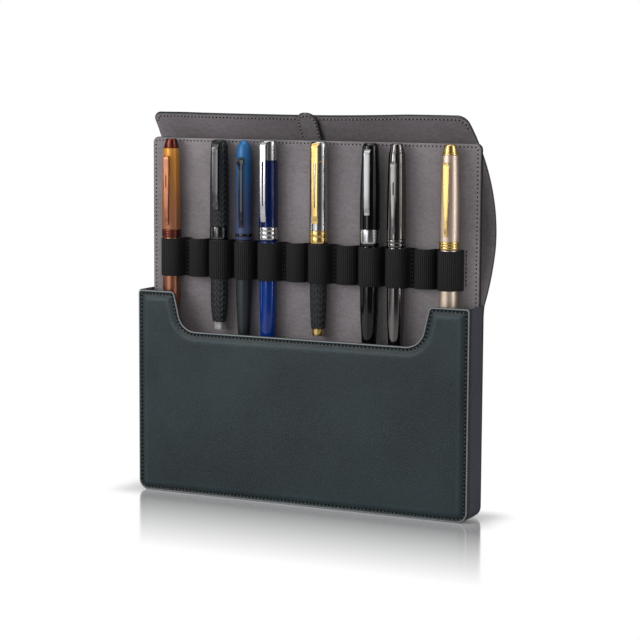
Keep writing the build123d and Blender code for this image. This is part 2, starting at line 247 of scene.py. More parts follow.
def inset_corners(corners, inset):
    """Corners of an anticlockwise outline moved inwards."""
    moved = []
    count = len(corners)
    for i in range(count):
        before, at, after = Vector(corners[i - 1]), Vector(corners[i]), Vector(corners[(i + 1) % count])
        a = (at - before).normalized()
        b = (after - at).normalized()
        normal_a, normal_b = Vector((-a.y, a.x)), Vector((-b.y, b.x))
        blend = (normal_a + normal_b).normalized()
        moved.append(at + blend * (inset / blend.dot(normal_a)))
    return moved


def outline(corners, radii, inset, corner_steps=8, side_steps=6):
    """Rounded outline in X and Z at a distance inside the given one, always with as many points."""
    moved = inset_corners(corners, inset)
    count = len(corners)
    arcs = []
    for i in range(count):
        before, at, after = moved[i - 1], moved[i], moved[(i + 1) % count]
        hollow = (at - before).cross(after - at) < 0
        radius = radii[i] + inset if hollow else max(radii[i] - inset, 1.6 * MM)
        arcs.append(corner_arc(before, at, after, radius, corner_steps))
    points = []
    for i in range(count):
        points += arcs[i]
        here, there = arcs[i][-1], arcs[(i + 1) % count][0]
        for step in range(1, side_steps):
            points.append(here.lerp(there, step / side_steps))
    return points


def panel(name, corners, radii, profile):
    """Panel whose section runs through (inset, y) pairs round its whole outline."""
    rings = []
    for inset, y in profile:
        rings.append([(p.x, y, p.y) for p in outline(corners, radii, inset)])
    return loft(name, rings), len(rings[0])


def seed(name, length_x, width, centre_x, segments, index, materials):
    """Small ellipsoid along X: the thread of a stitch, or the near-black mark of painted shade that stands for
    the needle hole beside it.
    """
    start()
    bpy.ops.mesh.primitive_uv_sphere_add(segments=segments, ring_count=segments // 2 + 1, radius=0.5,
                                         rotation=(0, math.radians(90), 0))
    piece = bpy.context.object
    piece.name = name
    piece.scale = (width, width, length_x)
    piece.location = (centre_x, 0, 0)
    bpy.ops.object.transform_apply(location=True, rotation=True, scale=True)
    for material in materials:
        piece.data.materials.append(material)
    for face in piece.data.polygons:
        face.material_index = index
    return piece


def thread_line(name, points, closed, sizes, material, body=None, blend=None):
    """Row of stitches: one stitch with the painted shade of its needle hole, repeated by an array and bent
    along a line.
    """
    run = bpy.data.curves.new(name + "_run", "CURVE")
    run.dimensions = "3D"
    spline = run.splines.new("POLY")
    spline.points.add(len(points) - 1)
    for spot, point in zip(spline.points, points):
        spot.co = (*point, 1.0)
    spline.use_cyclic_u = closed
    guide = add_object(name + "_run", run)
    total = sum((Vector(b) - Vector(a)).length for a, b in zip(points, points[1:]))
    if closed:
        total += (Vector(points[0]) - Vector(points[-1])).length
    count = max(2, round(total / sizes.stitch_pitch))
    pitch = total / count
    # The needle hole is a near-black mark on the surface: painted shade
    hole = seed(name + "_hole", sizes.hole, sizes.hole * 0.8, pitch, 8, 1, [material, looks["hole"]])
    piece = seed(name, sizes.stitch_length, sizes.thread, pitch / 2, 8, 0, [material, looks["hole"]])
    hole.select_set(True)
    bpy.ops.object.join()
    piece.data.name = name
    repeat = piece.modifiers.new("Repeat", "ARRAY")
    repeat.count = count
    repeat.use_relative_offset = False
    repeat.use_constant_offset = True
    repeat.constant_offset_displace = (pitch, 0, 0)
    bend = piece.modifiers.new("Follow", "CURVE")
    bend.object = guide
    bend.deform_axis = "POS_X"
    bpy.ops.object.modifier_apply(modifier="Repeat")
    bpy.ops.object.modifier_apply(modifier="Follow")
    bpy.data.objects.remove(guide)
    finish_piece(piece, body, [])
    if blend:
        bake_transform(piece)
    return piece


def way_at(line, i):
    """Direction of a line of points at one of them."""
    return (Vector(line[min(i + 1, len(line) - 1)]) - Vector(line[max(i - 1, 0)])).normalized()


def even_steps(low, high, count):
    return [low + (high - low) * i / count for i in range(count + 1)]


def smooth(value, low, high):
    """Smooth step from 0 at low to 1 at high."""
    share = min(max((value - low) / (high - low), 0.0), 1.0)
    return share * share * (3 - 2 * share)


# Materials

def new_group(name, inputs, outputs):
    """Node group with a vector input, number inputs with their defaults, and number outputs."""
    tree = bpy.data.node_groups.new(name, "ShaderNodeTree")
    tree.interface.new_socket(name="Vector", in_out="INPUT", socket_type="NodeSocketVector")
    for label, default in inputs.items():
        socket = tree.interface.new_socket(name=label, in_out="INPUT", socket_type="NodeSocketFloat")
        socket.default_value = default
    for label in outputs:
        tree.interface.new_socket(name=label, in_out="OUTPUT", socket_type="NodeSocketFloat")
    entry = tree.nodes.new("NodeGroupInput")
    leave = tree.nodes.new("NodeGroupOutput")
    return tree, entry.outputs, leave.inputs


def give(tree, out, **values):
    """Link a group's outputs."""
    for label, value in values.items():
        tree.links.new(value, out[label])
    return tree


def node(tree, kind, links=(), **settings):
    """Add a node; links are (input, source) pairs, where a source is a socket or a value."""
    made = tree.nodes.new(kind)
    for key, value in settings.items():
        setattr(made, key, value)
    for socket, source in links:
        target = made.inputs[socket]
        if isinstance(source, bpy.types.NodeSocket):
            tree.links.new(source, target)
        else:
            target.default_value = source
    return made


def math_node(tree, operation, first, second=0.0, third=0.0):
    links = [(0, first), (1, second), (2, third)]
    return node(tree, "ShaderNodeMath", links, operation=operation).outputs[0]


def noise(tree, vector, scale, detail=2.0, roughness=0.5, distortion=0.0):
    links = [("Vector", vector), ("Scale", scale), ("Detail", detail), ("Roughness", roughness),
             ("Distortion", distortion)]
    return node(tree, "ShaderNodeTexNoise", links).outputs["Fac"]


def remap(tree, value, low, high, to_low=0.0, to_high=1.0, **settings):
    """The range from low to high stretched to another one, and held at its ends."""
    links = [("Value", value), ("From Min", low), ("From Max", high), ("To Min", to_low), ("To Max", to_high)]
    return node(tree, "ShaderNodeMapRange", links, **settings).outputs[0]


def grain_group():
    """Leather grain: small cells with creases between them, wrinkles, a speckle and a slow change of tone."""
    tree, given, out = new_group("Leather grain", {"Wrinkles": 0.2}, ("Height", "Tone"))
    place, share = given["Vector"], given["Wrinkles"]
    cells = node(tree, "ShaderNodeTexVoronoi", [("Vector", place), ("Scale", 1100.0)],
                 feature="DISTANCE_TO_EDGE")
    crease = math_node(tree, "SMOOTH_MIN", cells.outputs["Distance"], 0.25, 0.1)
    mixed = math_node(tree, "MULTIPLY_ADD", noise(tree, place, 1500.0, 3.0), 0.5, crease)
    grit = remap(tree, noise(tree, place, 620.0, 3.0, roughness=0.7), 0.3, 0.7)
    wide = remap(tree, noise(tree, place, 17.0, 3.0), 0.35, 0.65)
    stretch = node(tree, "ShaderNodeMapping", [("Vector", place), ("Scale", (240.0, 240.0, 560.0))])
    wrinkle = noise(tree, stretch.outputs[0], 1.0, 3.0, distortion=0.6)
    streak = remap(tree, wrinkle, 0.32, 0.68)
    tone = math_node(tree, "MULTIPLY_ADD", wide, 0.4, math_node(tree, "MULTIPLY", grit, 0.35))
    tone = math_node(tree, "MULTIPLY_ADD", streak, share, tone)
    creased = math_node(tree, "MULTIPLY", wrinkle, math_node(tree, "MULTIPLY", share, 3.0))
    return give(tree, out, Height=math_node(tree, "ADD", creased, mixed), Tone=tone)


def rib_group():
    """Vertical ribs of knitted elastic, with short crossing threads."""
    tree, given, out = new_group("Elastic ribs", {"Pitch": 1.5}, ("Height", "Shade"))
    parts = node(tree, "ShaderNodeSeparateXYZ", [(0, given["Vector"])])
    along = math_node(tree, "DIVIDE", parts.outputs["Y"], given["Pitch"])
    wobble = noise(tree, given["Vector"], 0.35)
    along = math_node(tree, "MULTIPLY_ADD", wobble, 0.5, along)
    wave = math_node(tree, "SINE", math_node(tree, "MULTIPLY", along, 2 * math.pi))
    rib = math_node(tree, "MULTIPLY_ADD", wave, 0.5, 0.5)
    row = math_node(tree, "SINE", math_node(tree, "MULTIPLY", parts.outputs["X"], 2 * math.pi / 0.7))
    cross = math_node(tree, "MULTIPLY_ADD", row, 0.12, rib)
    shade = math_node(tree, "MULTIPLY", rib, math_node(tree, "MULTIPLY_ADD", wobble, 0.8, 0.6))
    return give(tree, out, Height=cross, Shade=shade)


def scale_group():
    """Rows of overlapping pointed scales round a pen, as cut in a guilloche; U is in turns."""
    tree, given, out = new_group("Cut scales", {"Count": 9.0, "Row": 3.4}, ("Height", "Shade"))
    parts = node(tree, "ShaderNodeSeparateXYZ", [(0, given["Vector"])])
    across = math_node(tree, "FRACT", math_node(tree, "MULTIPLY", parts.outputs["X"], given["Count"]))
    fold = math_node(tree, "ABSOLUTE", math_node(tree, "MULTIPLY_ADD", across, 2.0, -1.0))
    up = math_node(tree, "DIVIDE", parts.outputs["Y"], given["Row"])
    ramp = math_node(tree, "FRACT", math_node(tree, "MULTIPLY_ADD", fold, 0.75, up))
    edge = math_node(tree, "SMOOTH_MIN", ramp, math_node(tree, "MULTIPLY_ADD", ramp, -5.0, 5.0), 0.2)
    aside = math_node(tree, "POWER", math_node(tree, "MULTIPLY_ADD", fold, 2.0, -1.0), 4.0)
    stroke = math_node(tree, "MULTIPLY", edge, math_node(tree, "SUBTRACT", 1.0, aside))
    return give(tree, out, Height=stroke, Shade=math_node(tree, "POWER", stroke, 1.4))


def knurl_group():
    """Fine crossed knurling round a turned end; U is in turns."""
    tree, given, out = new_group("Knurl", {"Count": 26.0, "Row": 1.0}, ("Height",))
    parts = node(tree, "ShaderNodeSeparateXYZ", [(0, given["Vector"])])
    across = math_node(tree, "MULTIPLY", parts.outputs["X"], given["Count"])
    up = math_node(tree, "DIVIDE", parts.outputs["Y"], given["Row"])
    waves = []
    for way in ("ADD", "SUBTRACT"):
        turns = math_node(tree, "MULTIPLY", math_node(tree, way, across, up), 2 * math.pi)
        waves.append(math_node(tree, "SINE", turns))
    cut = math_node(tree, "MULTIPLY_ADD", math_node(tree, "MULTIPLY", *waves), 0.5, 0.5)
    return give(tree, out, Height=cut)


def fade_group():
    """Share from 0 to 1 between two heights above the base."""
    tree, given, out = new_group("Height fade", {"Low": 0.18, "High": 0.24}, ("Share",))
    height = node(tree, "ShaderNodeSeparateXYZ", [(0, given["Vector"])]).outputs["Z"]
    share = remap(tree, height, given["Low"], given["High"], interpolation_type="SMOOTHSTEP")
    return give(tree, out, Share=share)


def scuff_group():
    """Faint marks of handling, as a mask."""
    tree, given, out = new_group("Handling marks", {"Scale": 120.0}, ("Mask",))
    smears = noise(tree, given["Vector"], given["Scale"], 5.0, 0.65)
    return give(tree, out, Mask=remap(tree, smears, 0.45, 0.75))


def new_material(name, rgb=None, rough=None, metallic=None, specular=None):
    """Material with the plain values that are given."""
    material = bpy.data.materials.new(name)
    material.use_nodes = True
    tree = material.node_tree
    shader = tree.nodes["Principled BSDF"]
    for label, value in (("Base Color", rgb and (*rgb, 1.0)), ("Roughness", rough), ("Metallic", metallic),
                         ("Specular IOR Level", specular)):
        if value is not None:
            shader.inputs[label].default_value = value
    return material, tree, shader


def use_group(tree, key, **links):
    return node(tree, "ShaderNodeGroup", links.items(), node_tree=groups[key])


def place_of(tree):
    return tree.nodes.new("ShaderNodeTexCoord").outputs["Object"]


def surface_of(tree):
    return tree.nodes.new("ShaderNodeTexCoord").outputs["UV"]


def marks_of(tree, scale):
    return use_group(tree, "scuff", Vector=place_of(tree), Scale=scale).outputs["Mask"]


def bump(tree, shader, height, distance):
    made = node(tree, "ShaderNodeBump", [("Height", height), ("Distance", distance), ("Strength", 1.0)])
    tree.links.new(made.outputs[0], shader.inputs["Normal"])


def between(tree, shader, share, low, high):
    """Mix two ends, each a colour or a socket, by a share and feed the shader."""
    links = [(0, share)]
    for slot, end in ((6, low), (7, high)):
        links.append((slot, end if isinstance(end, bpy.types.NodeSocket) else (*end, 1.0)))
    mix = node(tree, "ShaderNodeMix", links, data_type="RGBA")
    tree.links.new(mix.outputs[2], shader.inputs["Base Color"])
    return mix.outputs[2]


def roughen(tree, shader, mask, low, high):
    """Roughness that the marks move from low to high."""
    tree.links.new(remap(tree, mask, 0.0, 1.0, low, high), shader.inputs["Roughness"])


def scaled(rgb, factor):
    return tuple(min(c * factor, 1.0) for c in rgb)


# How much lighter or darker the panels' leather is painted at a distance from the edge, in centimetres:
# painted highlight and real wear on the rim, painted shade in the stitch groove, and a painted sheen along the
# pad's slope
PAINTED_LIGHT_AND_WEAR = ((0.0, 0.8), (0.012, 1.5), (0.035, 6.0), (0.07, 5.2), (0.105, 1.2), (0.16, 0.5), (0.27, 0.45),
          (0.36, 0.9), (0.48, 1.15), (0.60, 1.5), (0.74, 1.15), (1.0, 1.0))
# A curve holds values from 0 to 1, so the levels are stored as a tenth
CURVE_SCALE = 10
# Pale rim: painted highlight of the rounded bead and real wear of the edge
RIM_HIGHLIGHT_AND_WEAR_COLOUR = (0.20, 0.21, 0.21)
RIM_HIGHLIGHT_AND_WEAR_LEVELS = (1.6, 6.0)


def painted_light_and_wear_level(tree):
    """How much lighter or darker the leather is painted here, from the distance that the mesh carries: painted
    highlight and wear at the rim, painted shade in the stitch groove, painted sheen on the pad.
    """
    inset = node(tree, "ShaderNodeAttribute", attribute_name="inset").outputs["Fac"]
    light_and_wear_curve = node(tree, "ShaderNodeFloatCurve", [("Value", inset)])
    spots = light_and_wear_curve.mapping.curves[0].points
    for spot, (share, level) in zip((spots[0], spots[1]), (PAINTED_LIGHT_AND_WEAR[0], PAINTED_LIGHT_AND_WEAR[-1])):
        spot.location = (share, level / CURVE_SCALE)
    for share, level in PAINTED_LIGHT_AND_WEAR[1:-1]:
        spots.new(share, level / CURVE_SCALE)
    light_and_wear_curve.mapping.update()
    return math_node(tree, "MULTIPLY", light_and_wear_curve.outputs[0], float(CURVE_SCALE))


def leather_material(name, rgb, rough, depth=0.00016, specular=0.3, contrast=0.16, wrinkles=0.06,
                     painted_light_and_wear=False, edge=None):
    """Grained leather; on panels a painted highlight, sheen and shade, with wear on the rim, follow the mesh's
    distance from its edge; edge paints the cut sides.
    """
    material, tree, shader = new_material(name, specular=specular)
    grain = use_group(tree, "grain", Vector=place_of(tree), Wrinkles=wrinkles)
    hide = between(tree, shader, grain.outputs["Tone"], scaled(rgb, 1 - contrast), scaled(rgb, 1 + contrast))
    if painted_light_and_wear:
        # Painted highlight and wear on the rim, painted shade in the stitch groove and painted sheen on the
        # pad
        level = painted_light_and_wear_level(tree)
        lit_and_worn = node(tree, "ShaderNodeVectorMath", [(0, hide), (3, level)], operation="SCALE").outputs[0]
        between(tree, shader, remap(tree, level, *RIM_HIGHLIGHT_AND_WEAR_LEVELS), lit_and_worn, RIM_HIGHLIGHT_AND_WEAR_COLOUR)
    if edge:
        normal = tree.nodes.new("ShaderNodeTexCoord").outputs["Normal"]
        facing = node(tree, "ShaderNodeSeparateXYZ", [(0, normal)]).outputs["Y"]
        cut = math_node(tree, "LESS_THAN", math_node(tree, "ABSOLUTE", facing), 0.5)
        between(tree, shader, cut, hide, edge)
    roughen(tree, shader, marks_of(tree, 60.0), rough + 0.04, rough - 0.05)
    bump(tree, shader, grain.outputs["Height"], depth)
    return material


def edge_material(rgb):
    material, tree, shader = new_material("Edge paint", rough=0.42)
    marks = marks_of(tree, 500.0)
    between(tree, shader, marks, rgb, scaled(rgb, 1.7))
    bump(tree, shader, marks, 0.00003)
    return material


def thread_material(name, rgb):
    material, tree, shader = new_material(name, rough=0.62)
    links = [("Vector", place_of(tree)), ("Scale", 900.0), ("Distortion", 1.5)]
    twist = node(tree, "ShaderNodeTexWave", links, wave_type="BANDS",
                 bands_direction="DIAGONAL").outputs["Fac"]
    # Painted shade in the twist's grooves and painted highlight on its strands, from the same bands as the
    # bump
    between(tree, shader, twist, scaled(rgb, 0.72), scaled(rgb, 1.2))
    bump(tree, shader, twist, 0.00006)
    return material


def elastic_material(rgb, pitch):
    material, tree, shader = new_material("Ribbed elastic", rough=0.8, specular=0.15)
    ribs = use_group(tree, "rib", Vector=surface_of(tree), Pitch=pitch / MM)
    between(tree, shader, ribs.outputs["Shade"], scaled(rgb, 0.5), scaled(rgb, 2.0))
    bump(tree, shader, ribs.outputs["Height"], 0.00035)
    return material


def metal_material(name, rgb, rough, satin=False):
    material, tree, shader = new_material(name, metallic=1.0)
    marks = marks_of(tree, 260.0)
    between(tree, shader, marks, rgb, scaled(rgb, 0.97))
    roughen(tree, shader, marks, rough, rough + 0.015)
    if satin:
        bump(tree, shader, noise(tree, surface_of(tree), 3.0, 1.0), 0.000012)
    return material


def fade_metal_material(name, low_rgb, high_rgb, low, high, rough, metallic):
    """Finish whose colour fades from one height to another."""
    material, tree, shader = new_material(name, metallic=metallic)
    share = use_group(tree, "fade", Vector=place_of(tree), Low=low, High=high).outputs["Share"]
    between(tree, shader, share, low_rgb, high_rgb)
    roughen(tree, shader, marks_of(tree, 90.0), rough, rough + 0.03)
    return material


def lacquer_material(name, rgb):
    material, tree, shader = new_material(name, specular=0.34)
    marks = marks_of(tree, 200.0)
    between(tree, shader, marks, rgb, scaled(rgb, 1.2))
    roughen(tree, shader, marks, 0.07, 0.10)
    shader.inputs["Coat Weight"].default_value = 0.15
    shader.inputs["Coat Roughness"].default_value = 0.04
    return material


def scale_material(name, rgb, count, row, rough):
    """Dark metal cut all over with small scales."""
    material, tree, shader = new_material(name, rough=rough, metallic=0.35)
    scales = use_group(tree, "scale", Vector=surface_of(tree), Count=count, Row=row)
    between(tree, shader, scales.outputs["Shade"], scaled(rgb, 0.3), scaled(rgb, 2.6))
    bump(tree, shader, scales.outputs["Height"], 0.0005)
    return material


def knurled_material(rgb):
    material, tree, shader = new_material("Knurled end", rough=0.35, metallic=0.8)
    knurl = use_group(tree, "knurl", Vector=surface_of(tree)).outputs["Height"]
    # Painted shade in the knurl's grooves and painted highlight on its ridges, from the same height as the
    # bump
    between(tree, shader, knurl, scaled(rgb, 0.7), scaled(rgb, 1.2))
    bump(tree, shader, knurl, 0.0002)
    return material


def needle_hole_shade_material():
    """Painted shade: a near-black mark that stands in for the shaded hollow where a needle went through."""
    material, tree, shader = new_material("Needle hole shade", rough=0.9, specular=0.1)
    between(tree, shader, noise(tree, place_of(tree), 900.0), (0.002, 0.002, 0.002), (0.008, 0.008, 0.008))
    return material


# Filled by the finishes operator and used by the others
groups = {}
looks = {}


class PENCASE_OT_finishes(bpy.types.Operator):
    """Build the shared effects and every material"""
    bl_idname = "pencase.finishes"
    bl_label = "Finishes"

    def execute(self, context):
        case, pens, sizes = context.scene.case_colours, context.scene.pen_colours, context.scene.case_sizes
        groups.update(grain=grain_group(), rib=rib_group(), scale=scale_group(), knurl=knurl_group(),
                      fade=fade_group(), scuff=scuff_group())
        soft = {"rough": 0.62, "depth": 0.00030, "specular": 0.18, "contrast": 0.36, "wrinkles": 0.24}
        steel = pens.chrome
        looks.update(
            leather=leather_material("Case leather", case.leather, rough=0.36, depth=0.00018, specular=0.25,
                                     contrast=0.34),
            # The panels' leather carries painted highlight, sheen and shade by distance from the edge
            panel=leather_material("Panel leather", case.leather, rough=0.34, depth=0.00018, specular=0.27,
                                   contrast=0.46, painted_light_and_wear=True),
            gusset=leather_material("Gusset leather", case.gusset, rough=0.7, specular=0.03, contrast=0.12),
            lining=leather_material("Lining leather", case.lining, **soft),
            panel_lining=leather_material("Panel lining", case.lining, edge=case.edge, **soft),
            insert=leather_material("Insert leather", case.insert, **soft),
            edge=edge_material(case.edge),
            thread=thread_material("Case thread", case.thread),
            insert_thread=thread_material("Insert thread", case.insert_thread),
            elastic=elastic_material(case.elastic, sizes.rib_pitch),
            hole=needle_hole_shade_material(),
            chrome=metal_material("Chrome", scaled(steel, 0.9), rough=0.21),
            steel=metal_material("Steel clip", scaled(steel, 0.7), rough=0.3),
            smoke=metal_material("Smoked steel", scaled(steel, 0.17), rough=0.17),
            gold=metal_material("Gold plate", pens.gold, rough=0.24),
            light_copper=metal_material("Light copper", pens.copper, rough=0.32),
            copper=metal_material("Dark copper", pens.garnet, rough=0.3),
            gunmetal=metal_material("Gunmetal", pens.gunmetal, rough=0.15),
            champagne=metal_material("Champagne", pens.champagne, rough=0.42, satin=True),
            black=lacquer_material("Gloss black", pens.black),
            navy=lacquer_material("Navy lacquer", pens.navy),
            royal=lacquer_material("Royal blue lacquer", pens.royal),
            woven=scale_material("Woven black", pens.woven, 8.0, 3.8, 0.3),
            woven_barrel=scale_material("Woven barrel", pens.woven, 7.0, 3.8, 0.36),
            carbon=scale_material("Carbon scales", pens.woven, 8.0, 4.2, 0.3),
            knurled=knurled_material(pens.pale_end),
            slate=fade_metal_material("Slate", pens.slate, pens.slate, 0.1, 0.2, 0.4, 0.2),
            amber=fade_metal_material("Amber to copper", pens.amber_low, pens.amber_top, 0.180, 0.238, 0.34,
                                      0.35),
            blue=fade_metal_material("Blue to navy", pens.blue_low, pens.blue_top, 0.185, 0.238, 0.4, 0.2),
        )
        return {"FINISHED"}


# Case

# How deep the middle of the stitches lies under the flat leather round the pad
CASE_STITCH_DEEP = 0.18 * MM
# Section of a padded panel in millimetres: distance from its edge, and step out from its inner or flat face
INNER_STEPS = ((6.0, 0.0), (0.3, 0.0), (0.06, 0.12), (0.0, 0.35))
FLAT_STEPS = ((0.0, -0.3), (0.08, -0.05), (0.28, 0.18), (0.55, 0.26), (0.85, 0.22), (1.15, 0.06),
              (1.50, -0.14), (1.9, -0.25), (2.3, -0.28), (2.75, -0.24), (3.2, -0.10), (3.7, 0.08), (4.2, 0.26))
# The pad's steps out are shares of its rise
PAD_STEPS = ((4.8, 0.50), (5.4, 0.74), (6.0, 0.90), (6.8, 0.98), (7.8, 1.0), (9.4, 1.0))


def front_corners(sizes):
    low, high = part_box("front_lining")
    half, top = high.x, high.z
    corners = [(-half, low.z), (half, low.z), (half, top), (sizes.scoop_top_half, top),
               (sizes.scoop_floor_half, sizes.scoop_floor), (-sizes.scoop_floor_half, sizes.scoop_floor),
               (-sizes.scoop_top_half, top), (-half, top)]
    radii = [sizes.base_corner, sizes.base_corner, 2.0 * MM, 3.5 * MM, 13 * MM, 13 * MM, 3.5 * MM, 2.0 * MM]
    return corners, radii


def back_corners(sizes):
    low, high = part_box("back_lining")
    corners = [(low.x, low.z), (high.x, low.z), (high.x, high.z), (low.x, high.z)]
    return corners, [sizes.base_corner, sizes.base_corner, 2.0 * MM, 2.0 * MM]


def padded_profile(inner, outer, rise):
    """Section of a padded panel from its inner face to its middle, as (inset, y)."""
    out = 1 if outer > inner else -1
    flat = outer - out * rise
    section = []
    for base, unit, steps in ((inner, MM, INNER_STEPS), (flat, MM, FLAT_STEPS), (flat, rise, PAD_STEPS)):
        section += [(inset * MM, base + out * step * unit) for inset, step in steps]
    return section


def case_panel(name, corners, radii, inner, outer, sizes, replaced):
    profile = padded_profile(inner, outer, sizes.pad_rise)
    piece, sides = panel(name, corners, radii, profile)
    distance = piece.data.attributes.new("inset", "FLOAT", "POINT")
    for number in range(len(piece.data.vertices)):
        distance.data[number].value = profile[number // sides][0] / (10 * MM)
    finish_piece(piece, "case", [looks["panel"], looks["edge"]], 50.0, replaced)
    paint(piece, sides, 0, 5, 1)


class PENCASE_OT_panels(bpy.types.Operator):
    """Padded front and back panels with their sewn edges"""
    bl_idname = "pencase.panels"
    bl_label = "Case panels"

    def execute(self, context):
        sizes = context.scene.case_sizes
        for side, maker in (("front", front_corners), ("back", back_corners)):
            corners, radii = maker(sizes)
            low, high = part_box(side + "_leather")
            inner, outer = (high.y, low.y) if side == "front" else (low.y, high.y)
            case_panel(side + "_panel", corners, radii, inner, outer, sizes,
                       [side + "_leather", side + "_core"])
            seam_y = outer + (1 if side == "front" else -1) * (sizes.pad_rise + CASE_STITCH_DEEP)
            line = outline(corners, radii, sizes.stitch_inset, corner_steps=10, side_steps=2)
            thread_line(side + "_stitches", [(p.x, seam_y, p.y) for p in line], True, sizes,
                        looks["thread"], "case")
            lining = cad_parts[side + "_lining"].data.materials
            lining.clear()
            lining.append(looks["panel_lining"])
        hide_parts("front_magnet")
        return {"FINISHED"}


GUSSET_THICK = 1.3 * MM
GUSSET_CORNER = 7.7 * MM
# Rim of the gusset in millimetres: distance from its edge, and height above its inner face
GUSSET_RIM = ((0.4, 0.0), (0.1, 0.12), (0.0, 0.3), (0.0, 0.55), (0.1, 0.6), (1.5, 0.62), (1.7, 0.75),
              (1.82, 1.0), (2.05, 1.2))


class PENCASE_OT_gusset(bpy.types.Operator):
    """One rolled-edge strip down the left side, along the base and up the right side"""
    bl_idname = "pencase.gusset"
    bl_label = "Gusset"

    def execute(self, context):
        low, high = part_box("gusset")
        corner, middle = GUSSET_CORNER, GUSSET_THICK / 2

        def bend(centre_x, first_deg):
            """Centre line round a lower corner, with the way out of the strip at each point."""
            spots = []
            for deg in even_steps(first_deg, first_deg + 90, 12)[1:-1]:
                out = (math.cos(math.radians(deg)), math.sin(math.radians(deg)))
                radius = corner - middle
                spots.append(((centre_x + radius * out[0], low.z + corner + radius * out[1]), out))
            return spots

        path = [((low.x + middle, z), (-1, 0)) for z in even_steps(high.z, low.z + corner, 10)]
        path += bend(low.x + corner, 180)
        path += [((x, low.z + middle), (0, -1)) for x in even_steps(low.x + corner, high.x - corner, 16)]
        path += bend(high.x - corner, 270)
        path += [((high.x - middle, z), (1, 0)) for z in even_steps(low.z + corner, high.z, 10)]
        half = high.y
        section = [(half - back * MM, up * MM - middle) for back, up in GUSSET_RIM]
        section += [(y, middle - 0.02 * MM) for y in even_steps(half - 2.5 * MM, -half + 2.5 * MM, 8)]
        section += [(back * MM - half, up * MM - middle) for back, up in reversed(GUSSET_RIM)]
        rings = []
        for (x, z), (out_x, out_z) in path:
            rings.append([(x + out_x * n, y, z + out_z * n) for y, n in section])
        piece = loft("gusset_strip", rings)
        finish_piece(piece, "case", [looks["gusset"], looks["lining"], looks["edge"]], 50.0, ["gusset"])
        last = len(section) - 1
        # The sunk margin along both edges takes the dark edge paint: real edge paint on the cut edge and
        # painted shade of the gap behind the panels' edges
        painted_shade_from = half - 1.9 * MM
        painted_shade_sides = [side for side in range(last)
                if min(abs(section[side][0]), abs(section[side + 1][0])) > painted_shade_from]
        paint(piece, len(section), 0, len(rings) - 1, 1, keep=lambda side: side == last)
        paint(piece, len(section), 0, len(rings) - 1, 2, keep=lambda side: side in painted_shade_sides)
        return {"FINISHED"}


# Insert

# How deep the middle of the insert's stitches lies in its covers
SUNK = 0.2 * MM


class PENCASE_OT_insert(bpy.types.Operator):
    """Pull-up board with sewn covers and painted edge"""
    bl_idname = "pencase.insert"
    bl_label = "Insert board"

    def execute(self, context):
        sizes = context.scene.case_sizes
        low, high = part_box("insert_front_cover")
        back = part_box("insert_back_cover")[1].y
        corners = [(low.x, low.z), (high.x, low.z), (high.x, high.z), (low.x, high.z)]
        radii = [9 * MM, 9 * MM, 4 * MM, 4 * MM]
        face = [(12.0, 0.0), (4.0, 0.0), (2.75, 0.02), (2.5, 0.08), (2.3, 0.12), (2.1, 0.08), (1.85, 0.02),
                (0.9, 0.02), (0.42, 0.10), (0.12, 0.30), (0.0, 0.62)]
        profile = [(inset * MM, low.y + step * MM) for inset, step in face]
        profile += [(inset * MM, back - step * MM) for inset, step in reversed(face)]
        piece, sides = panel("insert_board", corners, radii, profile)
        finish_piece(piece, "insert", [looks["insert"], looks["edge"]], 50.0,
                     ["insert_front_cover", "insert_back_cover", "insert_core"])
        paint(piece, sides, 8, 13, 1)
        line = outline(corners, radii, sizes.stitch_inset, corner_steps=6, side_steps=2)
        for face_name, y in (("front", low.y + SUNK), ("back", back - SUNK)):
            thread_line("insert_stitches_" + face_name, [(p.x, y, p.y) for p in line], True, sizes,
                        looks["insert_thread"], "insert")
        return {"FINISHED"}


LOOPS = 12
# Radius of the band's turn at a loop's foot, and the room round a barrel
FOOT = 0.9 * MM
BARREL_GAP = 0.3 * MM
# Radius of an empty loop, and how far in front of the board its middle lies
EMPTY_LOOP = 6.4 * MM
EMPTY_OUT = 1.2 * MM
LOOP_STITCH_OUT = 0.08 * MM
# Rounded edge of the band: share of its thickness, and distance from the edge in millimetres
ROUNDED = ((0.5, 0.35), (0.36, 0.08), (0.0, 0.0), (-0.36, 0.08), (-0.5, 0.35))


def arc(x, y, radius, first_deg, last_deg, count):
    turns = [math.radians(deg) for deg in even_steps(first_deg, last_deg, count)]
    return [(x + radius * math.cos(turn), y + radius * math.sin(turn)) for turn in turns]


def arch_points(x, y, radius, flat_y):
    """The band's line at one loop: out of the flat, up, round and back."""
    rise = flat_y - FOOT
    left = [(x - radius, step) for step in even_steps(rise, y, 4)[1:-1]]
    right = [(x + radius, step) for step in even_steps(y, rise, 4)[1:-1]]
    return (arc(x - radius - FOOT, rise, FOOT, 90, 0, 5) + left + arc(x, y, radius, 180, 360, 26)
            + right + arc(x + radius + FOOT, rise, FOOT, 180, 90, 5))


